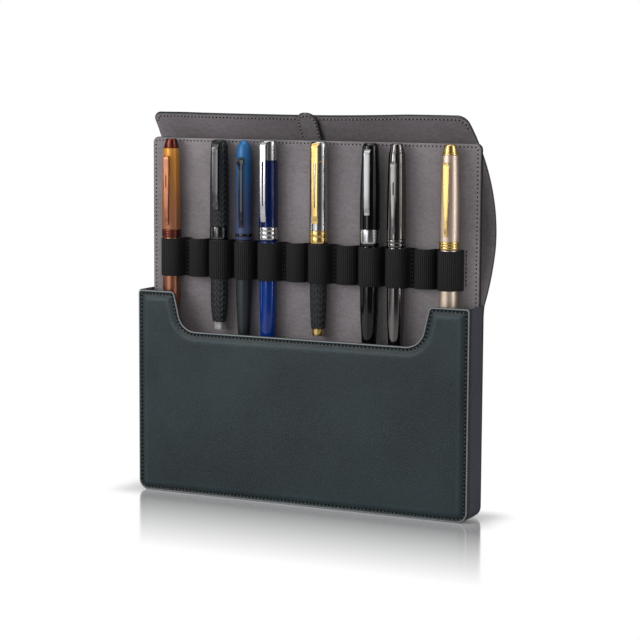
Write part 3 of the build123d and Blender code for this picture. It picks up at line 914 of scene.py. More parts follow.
class PENCASE_OT_elastic(bpy.types.Operator):
    """Ribbed elastic, arched round each barrel and sewn down between the loops"""
    bl_idname = "pencase.elastic"
    bl_label = "Elastic loops"

    def execute(self, context):
        sizes = context.scene.case_sizes
        low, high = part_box("elastic_band")
        thick = sizes.elastic_thick
        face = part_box("insert_front_cover")[0].y
        flat_y = face - thick / 2 - 0.03 * MM
        pitch = (high.x - low.x - 2.4 * MM) / LOOPS
        first = -pitch * (LOOPS - 1) / 2
        filled = {}
        for pen in PENS:
            x, y, _, barrel = pen.place()
            filled[round((x - first) / pitch)] = (y, barrel)
        line = [(low.x, flat_y)]
        for number in range(LOOPS):
            x = first + pitch * number
            if number in filled:
                y, barrel_r = filled[number]
                radius = barrel_r + BARREL_GAP + thick / 2
            else:
                y = face - EMPTY_OUT
                radius = EMPTY_LOOP + thick / 2
            line += arch_points(x, y, radius, flat_y)
        line.append((high.x - 3.4 * MM, flat_y))
        lows, highs = low.z, high.z
        rings, along, run = [], [], 0.0
        for i, (x, y) in enumerate(line):
            direction = way_at(line, i)
            normal = Vector((direction.y, -direction.x))
            if i:
                run += (Vector(line[i]) - Vector(line[i - 1])).length
            along.append(run)
            pull = 0.35 * MM * smooth(face - y, 2 * MM, 12 * MM)
            section = [(0.5, lows + 0.35 * MM + pull)]
            section += [(n, highs - back * MM - pull) for n, back in ROUNDED]
            section += [(n, lows + back * MM + pull) for n, back in reversed(ROUNDED[1:])]
            rings.append([(x + normal.x * n * thick, y + normal.y * n * thick, z) for n, z in section])
        piece = loft("elastic_loops", rings)
        wrap_uv(piece, rings, along)
        finish_piece(piece, "insert", [looks["elastic"]], 60.0, ["elastic_band"])
        for number in range(LOOPS + 1):
            x = first + pitch * (number - 0.5)
            x = min(max(x, low.x + 1.2 * MM), high.x - 1.4 * MM)
            y = flat_y - thick / 2 - LOOP_STITCH_OUT if number < LOOPS else face
            points = [(x, y, lows + 1.0 * MM), (x, y, highs - 1.0 * MM)]
            thread_line("loop_stitches_%02d" % number, points, False, sizes, looks["thread"], "insert")
        return {"FINISHED"}


# Flap

FLAP_BACK = math.radians(39.0)
FLAP_FRONT = math.radians(38.3)
HINGE_Y = 13.3 * MM
HINGE_Z = 138.0 * MM
FLAP_RISE = 120.3 * MM
FLAP_RADIUS = FLAP_RISE / (math.sin(FLAP_BACK) + math.sin(FLAP_FRONT))
ARC_Y = HINGE_Y - FLAP_RADIUS * math.cos(FLAP_BACK)
ARC_Z = HINGE_Z + FLAP_RADIUS * math.sin(FLAP_BACK)
FLAP_RUN = FLAP_RADIUS * (FLAP_BACK + FLAP_FRONT)
FOLD_RUN = 26 * MM
FLAP_HALF = 121.5 * MM
FLAP_END_HALF = 116.0 * MM
FLAP_TAPER_Z = 170 * MM
FLAP_SLOUCH = 9.4 * MM
FLAP_CORNER = 6 * MM
FLAP_DIP = 1.5 * MM
FLAP_THICK = 1.0 * MM
FLAP_COLUMNS = 44
# Heights on the back panel where the flap's hinge strip starts, in millimetres, and how far it stands out
HINGE_STRIP = ((118, 0.05), (124, 0.12), (130, 0.22), (134, 0.34), (136.5, 0.5))
HINGE_RUNS = (1.2, 2.4, 4.0, 6.0, 8.5, 11.0, 13.0)
TAB_OVERHANG = 2.3 * MM
TAB_THICK = 1.8 * MM
TAB_LENGTH = 32 * MM
TAB_CORNER = 7.6 * MM
TAB_INSET = 1.9 * MM
TAB_COLUMNS = 14


def flap_point(across, run, out):
    """Place on the flap: across from -1 to 1, run along it from the hinge, out from its middle layer."""
    dip = FLAP_DIP * max(0.0, 1 - ((across + 0.08) / 0.75) ** 2) * smooth(run, FLAP_RUN - 40 * MM, FLAP_RUN)
    turn = FLAP_BACK - (run - dip) / FLAP_RADIUS
    z = ARC_Z - FLAP_RADIUS * math.sin(turn)
    share = max(0.0, (z - FLAP_TAPER_Z) / (HINGE_Z + FLAP_RISE - FLAP_TAPER_Z)) ** 1.7
    half = FLAP_HALF - (FLAP_HALF - FLAP_END_HALF) * share
    into_corner = run - (FLAP_RUN - FLAP_CORNER)
    if into_corner > 0:
        half -= FLAP_CORNER - math.sqrt(max(FLAP_CORNER ** 2 - into_corner ** 2, 0.0))
    x = across * half - FLAP_SLOUCH * share
    loose = smooth(run, 20 * MM, 70 * MM) * (1 - 0.6 * smooth(run, 110 * MM, 135 * MM))
    wave = 0.7 * MM * math.sin(x * 21 + 0.8) + 0.45 * MM * math.sin(x * 47 + run * 30)
    radius = FLAP_RADIUS + out + wave * loose
    return (x, ARC_Y + radius * math.cos(turn), ARC_Z - radius * math.sin(turn))


def sheet_ring(spot, columns, edge, face, side):
    """One loop round a thin sheet's section; spot gives the place for a share across and a distance out."""
    held = [max(-edge, min(edge, a)) for a in even_steps(-1.0, 1.0, columns)]
    loop = [spot(a, face) for a in held] + [spot(1.0, side), spot(1.0, -side)]
    loop += [spot(a, -face) for a in reversed(held)]
    return loop + [spot(-1.0, -side), spot(-1.0, side)]


def flap_ring(run, thick=FLAP_THICK):
    """The flap's section at a distance from the hinge; thick is on each side of its middle."""
    edge = 1 - 0.35 * MM / FLAP_HALF
    return sheet_ring(lambda a, out: flap_point(a, run, out), FLAP_COLUMNS, edge, thick, thick * 0.55)


def flap_sheet(name, rings, replaced):
    piece = loft(name, rings)
    sides = len(rings[0])
    materials = [looks["leather"], looks["lining"], looks["edge"]]
    finish_piece(piece, None, materials, 60.0, replaced)
    bands = len(rings) - 1
    last = FLAP_COLUMNS
    paint(piece, sides, 0, bands, 1, keep=lambda side: last + 2 < side < sides - 2)
    paint(piece, sides, 0, bands, 2, keep=lambda side: last - 1 < side < last + 3 or side > sides - 4)
    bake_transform(piece)
    return piece


def flap_spot(run):
    return flap_point(0.0, run, 0.0)


class PENCASE_OT_flap(bpy.types.Operator):
    """Soft flap with its lining, painted edge, sewing and closing tab"""
    bl_idname = "pencase.flap"
    bl_label = "Flap and tab"

    def execute(self, context):
        sizes = context.scene.case_sizes
        at_hinge = ("case", "flap_top", flap_spot(0.0), flap_spot(6 * MM))
        at_fold = ("flap_top", "flap_front", flap_spot(FOLD_RUN - 7 * MM), flap_spot(FOLD_RUN + 7 * MM))
        rings = []
        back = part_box("back_leather")[1].y
        for z, proud in HINGE_STRIP:
            ring = []
            for point in flap_ring(0.0):
                behind, above = point[1] - HINGE_Y, point[2] - HINGE_Z
                outer = behind * math.cos(FLAP_BACK) + above * math.sin(FLAP_BACK) > 0
                x = point[0] * (1 - 0.006 * (138 - z) / 20)
                ring.append((x, back - 0.15 * MM + (proud + 0.15) * MM * (1 if outer else 0.2), z * MM))
            rings.append(ring)
        rings += [flap_ring(run * MM) for run in HINGE_RUNS]
        flap_sheet("flap_hinge_strip", rings, ["flap_top_leather", "flap_top_lining"])
        runs = [value * MM for value in even_steps(13.0, 30.0, 10)]
        runs += [value for value in even_steps(30 * MM, FLAP_RUN - FLAP_CORNER, 44)][1:]
        for deg in even_steps(0, 82, 8)[1:]:
            runs.append(FLAP_RUN - FLAP_CORNER + FLAP_CORNER * math.sin(math.radians(deg)))
        rings = [flap_ring(run) for run in runs]
        rings.append(flap_ring(FLAP_RUN - 0.03 * MM, 0.85 * FLAP_THICK))
        rings.append(flap_ring(FLAP_RUN, 0.55 * FLAP_THICK))
        cover = flap_sheet("flap_cover", rings, ["flap_front_leather", "flap_front_lining"])
        sides = len(rings[0])
        paint(cover, sides, len(rings) - 3, len(rings) - 1, 2)
        self.sew(sizes, at_fold)
        self.tab(sizes)
        return {"FINISHED"}

    def sew(self, sizes, at_fold):
        """Stitching up one side, across the end and down the other, on both faces."""
        inset = sizes.stitch_inset
        side_runs = even_steps(15 * MM, FLAP_RUN - FLAP_CORNER, 40)
        for name, out, thread in (("flap_stitches_outer", FLAP_THICK, "thread"),
                                  ("flap_stitches_inner", -FLAP_THICK, "insert_thread")):
            edge = 1 - inset / FLAP_HALF
            shown = side_runs if out > 0 else side_runs[-2:]
            left = [flap_point(-edge, run, out) for run in shown]
            right = [flap_point(edge, run, out) for run in reversed(shown)]
            end_run = FLAP_RUN - inset
            end = [flap_point(a, end_run, out) for a in even_steps(-0.962, 0.962, 30)]
            thread_line(name, left + end + right, False, sizes, looks[thread], None,
                        at_fold)

    def tab(self, sizes):
        """Closing tab on the inner face, round at its end."""
        low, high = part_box("tab_leather")
        middle = (low.x + high.x) / 2
        half = (high.x - low.x) / 2
        thick, corner = TAB_THICK, TAB_CORNER
        end = FLAP_RUN + TAB_OVERHANG
        begin = end - TAB_LENGTH
        inner = FLAP_THICK + thick / 2

        def on_tab(x, run, out):
            turn = FLAP_BACK - run / FLAP_RADIUS
            radius = FLAP_RADIUS - inner + out
            return (x, ARC_Y + radius * math.cos(turn), ARC_Z - radius * math.sin(turn))

        def place(across, run, out):
            width = half
            into = run - (end - corner)
            if into > 0:
                width = half - corner + math.sqrt(max(corner ** 2 - into ** 2, 0.0))
            return on_tab(middle + across * width, run, out)

        def ring(run, swell):
            edge, face = 1 - 0.3 * MM / half, swell * thick / 2
            return sheet_ring(lambda a, out: place(a, run, out), TAB_COLUMNS, edge, face, face / 2)

        runs = even_steps(begin, end - corner, 14)
        rings = [ring(begin - 0.02 * MM, 0.5), ring(begin, 0.8)] + [ring(run, 1.0) for run in runs]
        for deg in even_steps(0, 80, 7)[1:]:
            rings.append(ring(end - corner + corner * math.sin(math.radians(deg)), 1.0))
        rings.append(ring(end - 0.02 * MM, 0.8))
        rings.append(ring(end, 0.4))
        piece = loft("closing_tab", rings)
        sides = len(rings[0])
        finish_piece(piece, "flap_front", [looks["lining"], looks["edge"]], 55.0,
                     ["tab_leather", "tab_magnet"])
        paint(piece, sides, 0, len(rings) - 1, 1,
              keep=lambda side: TAB_COLUMNS - 1 < side < TAB_COLUMNS + 4 or side > sides - 4)
        inset = TAB_INSET
        aside = 1 - inset / half
        straight = even_steps(begin + inset, end - corner, 12)
        line = [place(-aside, run, -thick / 2) for run in straight]
        for deg in even_steps(180, 0, 14):
            turn = math.radians(deg)
            reach = corner - inset
            across = (half - corner) * (1 if math.cos(turn) > 0 else -1) + reach * math.cos(turn)
            line.append(on_tab(middle + across, end - corner + reach * math.sin(turn), -thick / 2))
        line += [place(aside, run, -thick / 2) for run in reversed(straight)]
        thread_line("tab_stitches", line, False, sizes, looks["insert_thread"], "flap_front")


# Pens

class PenLook:
    """Finish and form of one pen; widths are radii and heights run along it, in millimetres."""

    def __init__(self, name, cap, barrel, trim, band=5.0, beads=3, lip=0.0, top=5.3, dome=0.4, tip=4.9,
                 tail=4.0, taper=36.0, clip="leaf", wide=2.4, turn=6.0, head=11.4, slot=None, end=None,
                 clip_look=None):
        self.name = name
        self.cap = cap
        self.barrel = barrel
        self.trim = trim
        self.clip_look = clip_look or trim
        self.band = band * MM
        self.beads = beads
        self.lip = lip * MM
        self.top = top * MM
        self.dome = dome * MM
        self.tip = tip * MM
        self.tail = tail * MM
        self.taper = taper * MM
        self.clip = clip
        self.wide = wide * MM
        self.turn = math.radians(turn)
        self.head = head * MM
        self.slot = slot
        self.end = end

    def place(self):
        """Axis, cap radius and barrel radius, from the frame."""
        low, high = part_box(self.name + "_cap_ring")
        barrel_low, barrel_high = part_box(self.name + "_barrel")
        barrel = (barrel_high.x - barrel_low.x) / 2
        return (low.x + high.x) / 2, (low.y + high.y) / 2, (high.x - low.x) / 2, barrel


PENS = (
    PenLook("amber", "amber", "light_copper", "copper", turn=4.0, slot="short", clip_look="light_copper"),
    PenLook("woven", "woven", "woven_barrel", "smoke", band=8.4, beads=1, top=5.8, dome=5.0, tip=2.8,
            tail=4.5, taper=16.0, clip="strap", turn=8.0, head=2.8, end="knurled"),
    PenLook("blue", "blue", "slate", "black", band=2.0, beads=1, lip=2.2, top=5.1, dome=9.4, tip=0.5,
            tail=3.8, taper=40.0, clip="stick", turn=9.0),
    PenLook("navy", "navy", "royal", "chrome", band=8.4, lip=1.0, top=6.0, dome=0.3, tip=5.7, tail=5.0,
            taper=40.0, clip="strap", wide=2.3, turn=0.0, head=1.6, slot="long"),
    PenLook("carbon", "chrome", "carbon", "gold", band=8.4, beads=2, top=5.8, dome=3.0, tip=4.7, tail=4.75,
            taper=24.0, clip="strap", head=1.6, slot="long", end="gold"),
    PenLook("black", "black", "black", "chrome", band=9.4, beads=1, lip=1.5, top=5.3, dome=3.0, tip=2.8,
            tail=4.4, clip="strap", wide=2.0, turn=9.0, head=4.2, clip_look="steel"),
    PenLook("gunmetal", "gunmetal", "gunmetal", "gunmetal", beads=2, tail=4.2, turn=9.0, slot="short"),
    PenLook("champagne", "champagne", "champagne", "gold"),
)
# Radius of the small flat that closes a turned end
CENTRE = 0.4 * MM
# Radius of the hollow inside a cap, and the height above the base where it ends
BORE = 5.0 * MM
BORE_TOP = 222.0 * MM
CLIP_THICK = 0.8 * MM
# Section of a clip: shares of its half width and of its thickness
CLIP_SECTION = ((-1, 0.15), (-0.94, 0.36), (-0.8, 0.5), (-0.4, 0.58), (0, 0.62), (0.4, 0.58), (0.8, 0.5),
                (0.94, 0.36), (1, 0.15), (1, -0.25), (0.92, -0.45), (0.75, -0.5), (-0.75, -0.5),
                (-0.92, -0.45), (-1, -0.25))


def shifted(first, second, pairs):
    """Pairs in millimetres, measured from two places in metres."""
    return [(first + a * MM, second + b * MM) for a, b in pairs]


def turned_rings(x, y, levels):
    """Rings of a turned form, and the distance run along its section to each."""
    rings, along, run, last = [], [], 0.0, levels[0]
    for z, radius in levels:
        run += math.hypot(z - last[0], radius - last[1])
        last = (z, radius)
        turns = [2 * math.pi * side / TURNED_SIDES for side in range(TURNED_SIDES)]
        rings.append([(x + radius * math.cos(turn), y + radius * math.sin(turn), z) for turn in turns])
        along.append(run)
    return rings, along


def turned_uv(piece, along):
    """UV map of a turned piece: U in turns round it, V in millimetres along its section."""
    layer = piece.data.uv_layers.new(name="surface")
    for face in piece.data.polygons:
        sides = {piece.data.loops[loop].vertex_index % TURNED_SIDES for loop in face.loop_indices}
        closing = sides >= {0, TURNED_SIDES - 1}
        for loop in face.loop_indices:
            ring, side = divmod(piece.data.loops[loop].vertex_index, TURNED_SIDES)
            if closing and side == 0:
                side = TURNED_SIDES
            layer.data[loop].uv = (side / TURNED_SIDES, along[ring] / MM)


def lathe(name, x, y, levels, body, look, replaces=(), smooth_deg=40.0):
    """Turned piece through (height, radius) levels."""
    rings, along = turned_rings(x, y, levels)
    piece = loft(name, rings)
    turned_uv(piece, along)
    return finish_piece(piece, body, [looks[look]], smooth_deg, replaces)


def turned_ring(name, x, y, levels, body, look, replaces=()):
    """Closed turned ring: its last level meets its first."""
    rings, along = turned_rings(x, y, levels + levels[:1])
    piece = loft(name, rings, ends=(False, False))
    turned_uv(piece, along)
    take(piece)
    bpy.ops.object.mode_set(mode="EDIT")
    bpy.ops.mesh.select_all(action="SELECT")
    bpy.ops.mesh.remove_doubles(threshold=0.000001)
    bpy.ops.mesh.normals_make_consistent(inside=False)
    return finish_piece(piece, body, [looks[look]], 50.0, replaces)


def round_in(radius, tip, top, height, steps=6):
    """Levels that round in from the side to a flat tip."""
    turns = [math.radians(deg) for deg in even_steps(0, 90, steps)]
    return [(top - height * (1 - math.sin(t)), tip + (radius - tip) * math.cos(t)) for t in turns]


def round_out(radius, base, rounding, steps=4):
    """Levels of a rounded lower edge, from the flat base to the side."""
    turns = [math.radians(deg) for deg in even_steps(90, 0, steps)]
    return [(base + rounding * (1 - math.sin(t)), radius - rounding * (1 - math.cos(t))) for t in turns]


def bead_levels(low, high, radius, beads, depth):
    """Levels of a band turned with rounded beads one above another."""
    levels = []
    height = (high - low) / beads
    for bead in range(beads):
        base = low + bead * height
        for share, cut in ((0.03, 1.0), (0.07, 0.4), (0.14, 0.0), (0.86, 0.0), (0.93, 0.4), (0.97, 1.0)):
            levels.append((base + share * height, radius - cut * depth))
    return levels


class PENCASE_OT_caps(bpy.types.Operator):
    """Turned caps with the band and lip at each mouth"""
    bl_idname = "pencase.caps"
    bl_label = "Pen caps"

    def execute(self, context):
        for pen in PENS:
            x, y, radius, _ = pen.place()
            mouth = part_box(pen.name + "_cap_ring")[0].z
            self.body(pen, x, y, radius - 0.1 * MM, mouth + pen.lip + pen.band)
            self.band(pen, x, y, radius, mouth + pen.lip)
            if pen.lip:
                levels = [(mouth + pen.lip, BORE), (mouth, BORE + 0.1 * MM)]
                levels += shifted(mouth, radius, ((0, -0.6), (0.25, -0.3), (pen.lip / MM, -0.25)))
                turned_ring(pen.name + "_mouth_lip", x, y, levels, "cap_" + pen.name, pen.cap)
        x, y, _, _ = next(pen for pen in PENS if pen.name == "carbon").place()
        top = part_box("carbon_cap")[1].z - 13 * MM
        line = shifted(top, 0.0, ((0, 4.8), (0, 5.98), (0.15, 6.06), (0.55, 6.04), (0.7, 5.95), (0.7, 4.8)))
        turned_ring("carbon_top_line", x, y, line, "cap_carbon", "gold")
        return {"FINISHED"}

    def body(self, pen, x, y, side, base):
        """Cap that bellies in to its top."""
        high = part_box(pen.name + "_cap")[1].z
        straight = base + 12 * MM
        shoulder = high - pen.dome
        levels = [(BORE_TOP, CENTRE), (BORE_TOP, BORE), (base, BORE), (base, side - 0.2 * MM),
                  (base + 0.2 * MM, side)]
        levels += [(z, side) for z in even_steps(base + 1 * MM, straight, 3)]
        for share in (0.12, 0.26, 0.4, 0.55, 0.7, 0.85):
            levels.append((straight + (shoulder - straight) * share, side - (side - pen.top) * share ** 1.8))
        levels += round_in(pen.top, pen.tip, high, pen.dome)
        levels.append((high, CENTRE))
        lathe(pen.name + "_cap_body", x, y, levels, "cap_" + pen.name, pen.cap, [pen.name + "_cap"])

    def band(self, pen, x, y, radius, base):
        high = base + pen.band
        levels = [(base + 0.05 * MM, BORE), (base, BORE + 0.1 * MM), (base, radius - 0.35 * MM)]
        levels += bead_levels(base, high, radius, pen.beads, 0.16 * MM)
        levels += [(high, BORE + 0.1 * MM), (high - 0.05 * MM, BORE)]
        turned_ring(pen.name + "_mouth_band", x, y, levels, "cap_" + pen.name, pen.trim,
                    [pen.name + "_cap_ring"])


class PENCASE_OT_barrels(bpy.types.Operator):
    """Turned barrels, their end pieces, and the grips under the caps"""
    bl_idname = "pencase.barrels"
    bl_label = "Pen barrels"

    def execute(self, context):
        for pen in PENS:
            x, y, _, barrel = pen.place()
            low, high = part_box(pen.name + "_barrel")
            low.z += self.end_rise(pen)
            levels = [(low.z, CENTRE)]
            levels += round_out(pen.tail, low.z, (0.3 if pen.end else 1.1) * MM)
            base, top = levels[-1][0], low.z + pen.taper
            for share in (0.12, 0.25, 0.4, 0.55, 0.7, 0.85, 1.0):
                swell = math.sin(share * math.pi / 2)
                levels.append((base + (top - base) * share, pen.tail + (barrel - pen.tail) * swell))
            levels += [(z, barrel) for z in even_steps(top, high.z - 0.4 * MM, 5)[1:]]
            levels += shifted(high.z, barrel, ((-0.1, -0.1), (0, -0.4))) + [(high.z, 4.0 * MM)]
            lathe(pen.name + "_barrel_body", x, y, levels, "pen_" + pen.name, pen.barrel,
                  [pen.name + "_barrel"])
            self.grip(pen, x, y)
            if pen.end:
                self.tail(pen, x, y)
        return {"FINISHED"}

    def end_rise(self, pen):
        """How much higher the barrel's end piece reaches than the source's plain one."""
        return 2.6 * MM if pen.end == "gold" else 0.0

    def tail(self, pen, x, y):
        """Straight end piece with a narrow neck under the barrel."""
        low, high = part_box(pen.name + "_barrel_end")
        high.z += self.end_rise(pen)
        radius = (3.95 if pen.end == "gold" else 3.4) * MM
        levels = [(low.z, CENTRE)] + round_out(radius, low.z, 0.25 * MM)
        levels += shifted(high.z, radius, ((-0.5, 0), (-0.42, -0.08), (-0.38, -0.5), (0, -0.5)))
        levels.append((high.z, CENTRE))
        lathe(pen.name + "_tail", x, y, levels, "pen_" + pen.name, pen.end,
              [pen.name + "_barrel_end"])

    def grip(self, pen, x, y):
        low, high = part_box(pen.name + "_section")
        base = low.z + 12 * MM
        levels = [(low.z, CENTRE), (low.z, 4.0 * MM)]
        levels += shifted(base, 0.0, [(0, 4.0), (0, 4.6)])
        levels += shifted(base, 0.0, [(29 * share, 4.6 - 0.5 * share) for share in (0.1, 0.3, 0.5, 0.7, 0.9)])
        levels += shifted(base, 0.0, [(28.6, 4.15), (29, 3.8), (29, 2.4), (35, 1.7), (41, 0.7)])
        levels.append((high.z, 0.35 * MM))
        lathe(pen.name + "_grip", x, y, levels, "pen_" + pen.name, "black", [pen.name + "_section"],
              30.0)


class PENCASE_OT_clips(bpy.types.Operator):
    """Sprung clips, with slots where the pen has one, and turned finials"""
    bl_idname = "pencase.clips"
    bl_label = "Pen clips"

    def execute(self, context):
        pen_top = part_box("insert_front_cover")[1].z - 0.8 * MM
        for pen in PENS:
            x, y, radius, _ = pen.place()
            low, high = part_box(pen.name + "_clip")
            cap_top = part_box(pen.name + "_cap")[1].z
            head = pen_top - pen.head
            self.strip(pen, x, y, radius, low, head)
            if high.z > cap_top + 1 * MM:
                self.finial(pen, x, y, cap_top, high.z)
        return {"FINISHED"}

    def half_width(self, pen, down, long):
        """Half width of the clip at a distance below its head."""
        if pen.clip == "leaf":
            head = 2.2 * MM
            half = (2.2 - 0.95 * smooth(down / long, 0.15, 0.95)) * MM
            half *= math.sqrt(max(1 - (1 - min(down / head, 1.0)) ** 2, 0.12))
        elif pen.clip == "stick":
            disc = (2.7 * MM) ** 2 - (down - 2.7 * MM) ** 2
            half = math.sqrt(max(disc, (0.9 * MM) ** 2 if down < 1 * MM else (1.4 * MM) ** 2))
        else:
            half = pen.wide * (1 - 0.1 * down / long)
        foot = max(long - down, 0.0)
        tip = (1.1 if pen.clip == "leaf" else 0.35) * MM
        return half * (math.sqrt(max(1 - (1 - min(foot / tip, 1.0)) ** 2, 0.3)))

    def strip(self, pen, x, y, radius, low, head):
        thick = CLIP_THICK
        front = y - low.y - thick / 2
        foot = low.z
        long = head - foot
        strap = pen.clip == "strap"
        inside = (pen.tip - 0.3 * MM) if strap and pen.dome > 1 * MM else 3.6 * MM
        bow = (0.55 if pen.slot == "long" else 0.2) * MM
        if strap and pen.head > 2 * MM:
            line = [(3.0 * MM, head - 0.1 * MM), (pen.top - 0.5 * MM, head)]
            line += shifted(front, head, ((-1.2, -0.3), (-0.6, -0.9), (-0.2, -1.9), (0, -3.2)))
        elif strap:
            line = [(inside, head + 0.4 * MM)]
            line += shifted(front, head, ((-1.7, 0.42), (-0.95, 0.25), (-0.4, -0.2), (-0.12, -1.0),
                                          (-0.02, -2.2)))
        else:
            line = shifted(radius, head, ((-2.0, -1.0), (-0.6, -0.9), (0.4, -0.68)))
            line += shifted(front, head, ((-0.95, -0.28), (-0.55, -0.12), (-0.3, -0.26), (-0.16, -0.52),
                                          (-0.08, -0.9), (-0.03, -1.4), (0, -2.0), (0, -2.8), (0, -3.6)))
        for share in (0.13, 0.19, 0.27, 0.36, 0.45, 0.54, 0.63, 0.72, 0.8):
            line.append((front - bow * (1 - math.sin(math.pi * share)) * 0.6, head - long * share))
        line.append((front - 0.45 * MM, foot + 5.6 * MM))
        line += shifted(radius + 0.25 * MM + thick / 2, foot, (
            (0.75, 4.0), (0.25, 2.6), (0.1, 1.6), (0.08, 0.9), (0.08, 0.35), (0.08, 0.12), (0.08, 0)))
        rings = []
        for i, (reach, z) in enumerate(line):
            direction = way_at(line, i)
            normal = Vector((-direction.y, direction.x))
            down = max(head - z, 0.0)
            half = self.half_width(pen, down, long)
            if not strap and reach < front - 0.5 * MM and z > foot + long / 2:
                half = 0.85 * MM
            ring = []
            for a, n in CLIP_SECTION:
                ring.append((x + a * half, y - reach + normal.x * n * thick, z + normal.y * n * thick))
            rings.append(ring)
        piece = loft(pen.name + "_clip_strip", rings)
        if pen.slot:
            top, bottom = head - 12 * MM, foot + 10.5 * MM
            if pen.slot == "short":
                top, bottom = head - 13 * MM, head - 21.5 * MM
            self.cut_slot(piece, pen, x, y - front, top, bottom)
        piece.data.transform(Matrix.Translation((x, y, 0)) @ Matrix.Rotation(pen.turn, 4, "Z")
                             @ Matrix.Translation((-x, -y, 0)))
        finish_piece(piece, "cap_" + pen.name, [looks[pen.clip_look]], 40.0,
                     [pen.name + "_clip"])

    def cut_slot(self, piece, pen, x, y, top, bottom):
        """Tapered slot cut through the strip."""
        half, narrow = (0.6 if pen.slot == "short" else 0.72) * MM, 0.4 * MM
        rings = []
        for reach in (-2 * MM, 2 * MM):
            round_slot = arc(x, top - half, half, 180, 0, 8) + arc(x, bottom + narrow, narrow, 0, -180, 8)
            rings.append([(across, y + reach, z) for across, z in round_slot])
        cutter = loft(pen.name + "_slot", rings)
        take(piece)
        cut = piece.modifiers.new("Slot", "BOOLEAN")
        cut.operation = "DIFFERENCE"
        cut.object = cutter
        cut.solver = "FAST"
        bpy.ops.object.modifier_apply(modifier="Slot")
        bpy.data.objects.remove(cutter)

    def finial(self, pen, x, y, base, top):
        """Finial, with the collar that it stands on."""
        if pen.clip == "strap":
            levels = [(base, CENTRE), (base, pen.top - 0.25 * MM), (base + 0.2 * MM, pen.top - 0.02 * MM)]
            levels += [(z, pen.top - (z - base) * 0.03) for z in even_steps(base + 1 * MM, top - 0.8 * MM, 4)]
            levels += round_in(pen.top - 0.4 * MM, pen.top - 1.1 * MM, top, 0.7 * MM)
        else:
            levels = [(base, CENTRE)]
            levels += shifted(base, pen.top, ((0, -0.12), (0.12, 0), (0.65, 0), (0.78, -0.15)))
            levels += shifted(base, 0.0, ((0.82, 4.62), (1.0, 4.78), (1.9, 4.72), (2.1, 4.6), (2.2, 4.62)))
            levels += [(top - 1.2 * MM, 3.85 * MM)] + round_in(3.8 * MM, 2.9 * MM, top, 1.0 * MM)
        levels.append((top, CENTRE))
        lathe(pen.name + "_finial", x, y, levels, "cap_" + pen.name, pen.trim, ())


# Stage

# Half width and half depth of the case on the floor, in metres
CASE_HALF = 0.1225
CASE_DEEP = 0.013
# Grey of the lit floor at the case, darker than the white further away: painted shade at the case's foot
# besides its real shadow
FLOOR_COLOUR = (0.52, 0.52, 0.53)
# Shade at the case's foot, real shadow with painted shade from the floor's darker grey there, and mirror in
# front of it: lengths in metres, and the strength where they begin
SHADE_REACH, SHADE_SHARE = 0.024, 0.6
MIRROR_REACH, MIRROR_SHARE = 0.145, 0.88
MIRROR_HALF, MIRROR_EDGE, MIRROR_MIDDLE = 0.124, 0.014, 0.006
MIRROR_START = (-0.026, -0.004)
# The mirror follows the view: how far it moves aside, and how much it narrows, for each metre ahead
MIRROR_ASIDE, MIRROR_NARROWS = 0.507, 0.828
# Dark flags round the case
FLAG_RADIUS = 0.75
FLAG_COLOUR = (0.008, 0.008, 0.008)
# Camera of the photograph: lengths in millimetres, and the focal length in pixels of the picture
PICTURE = 640
FOCAL = 2050.67
YAW, PITCH, ROLL = (math.radians(deg) for deg in (26.333, 6.887, 0.333))
DISTANCE, SHIFT_RIGHT, SHIFT_UP = 1373.278, 9.454, 122.050


def look_at(thing, target):
    direction = Vector(target) - thing.location
    thing.rotation_euler = direction.to_track_quat("-Z", "Y").to_euler()


def mix_shaders(tree, share, first, second):
    return node(tree, "ShaderNodeMixShader", [(0, share), (1, first.outputs[0]), (2, second.outputs[0])])


def seen_directly(tree):
    """1 for rays that show the background: from the camera, a reflection or glass."""
    rays = tree.nodes.new("ShaderNodeLightPath")
    seen = math_node(tree, "MAXIMUM", rays.outputs["Is Camera Ray"], rays.outputs["Is Glossy Ray"])
    return math_node(tree, "MAXIMUM", seen, rays.outputs["Is Transmission Ray"])


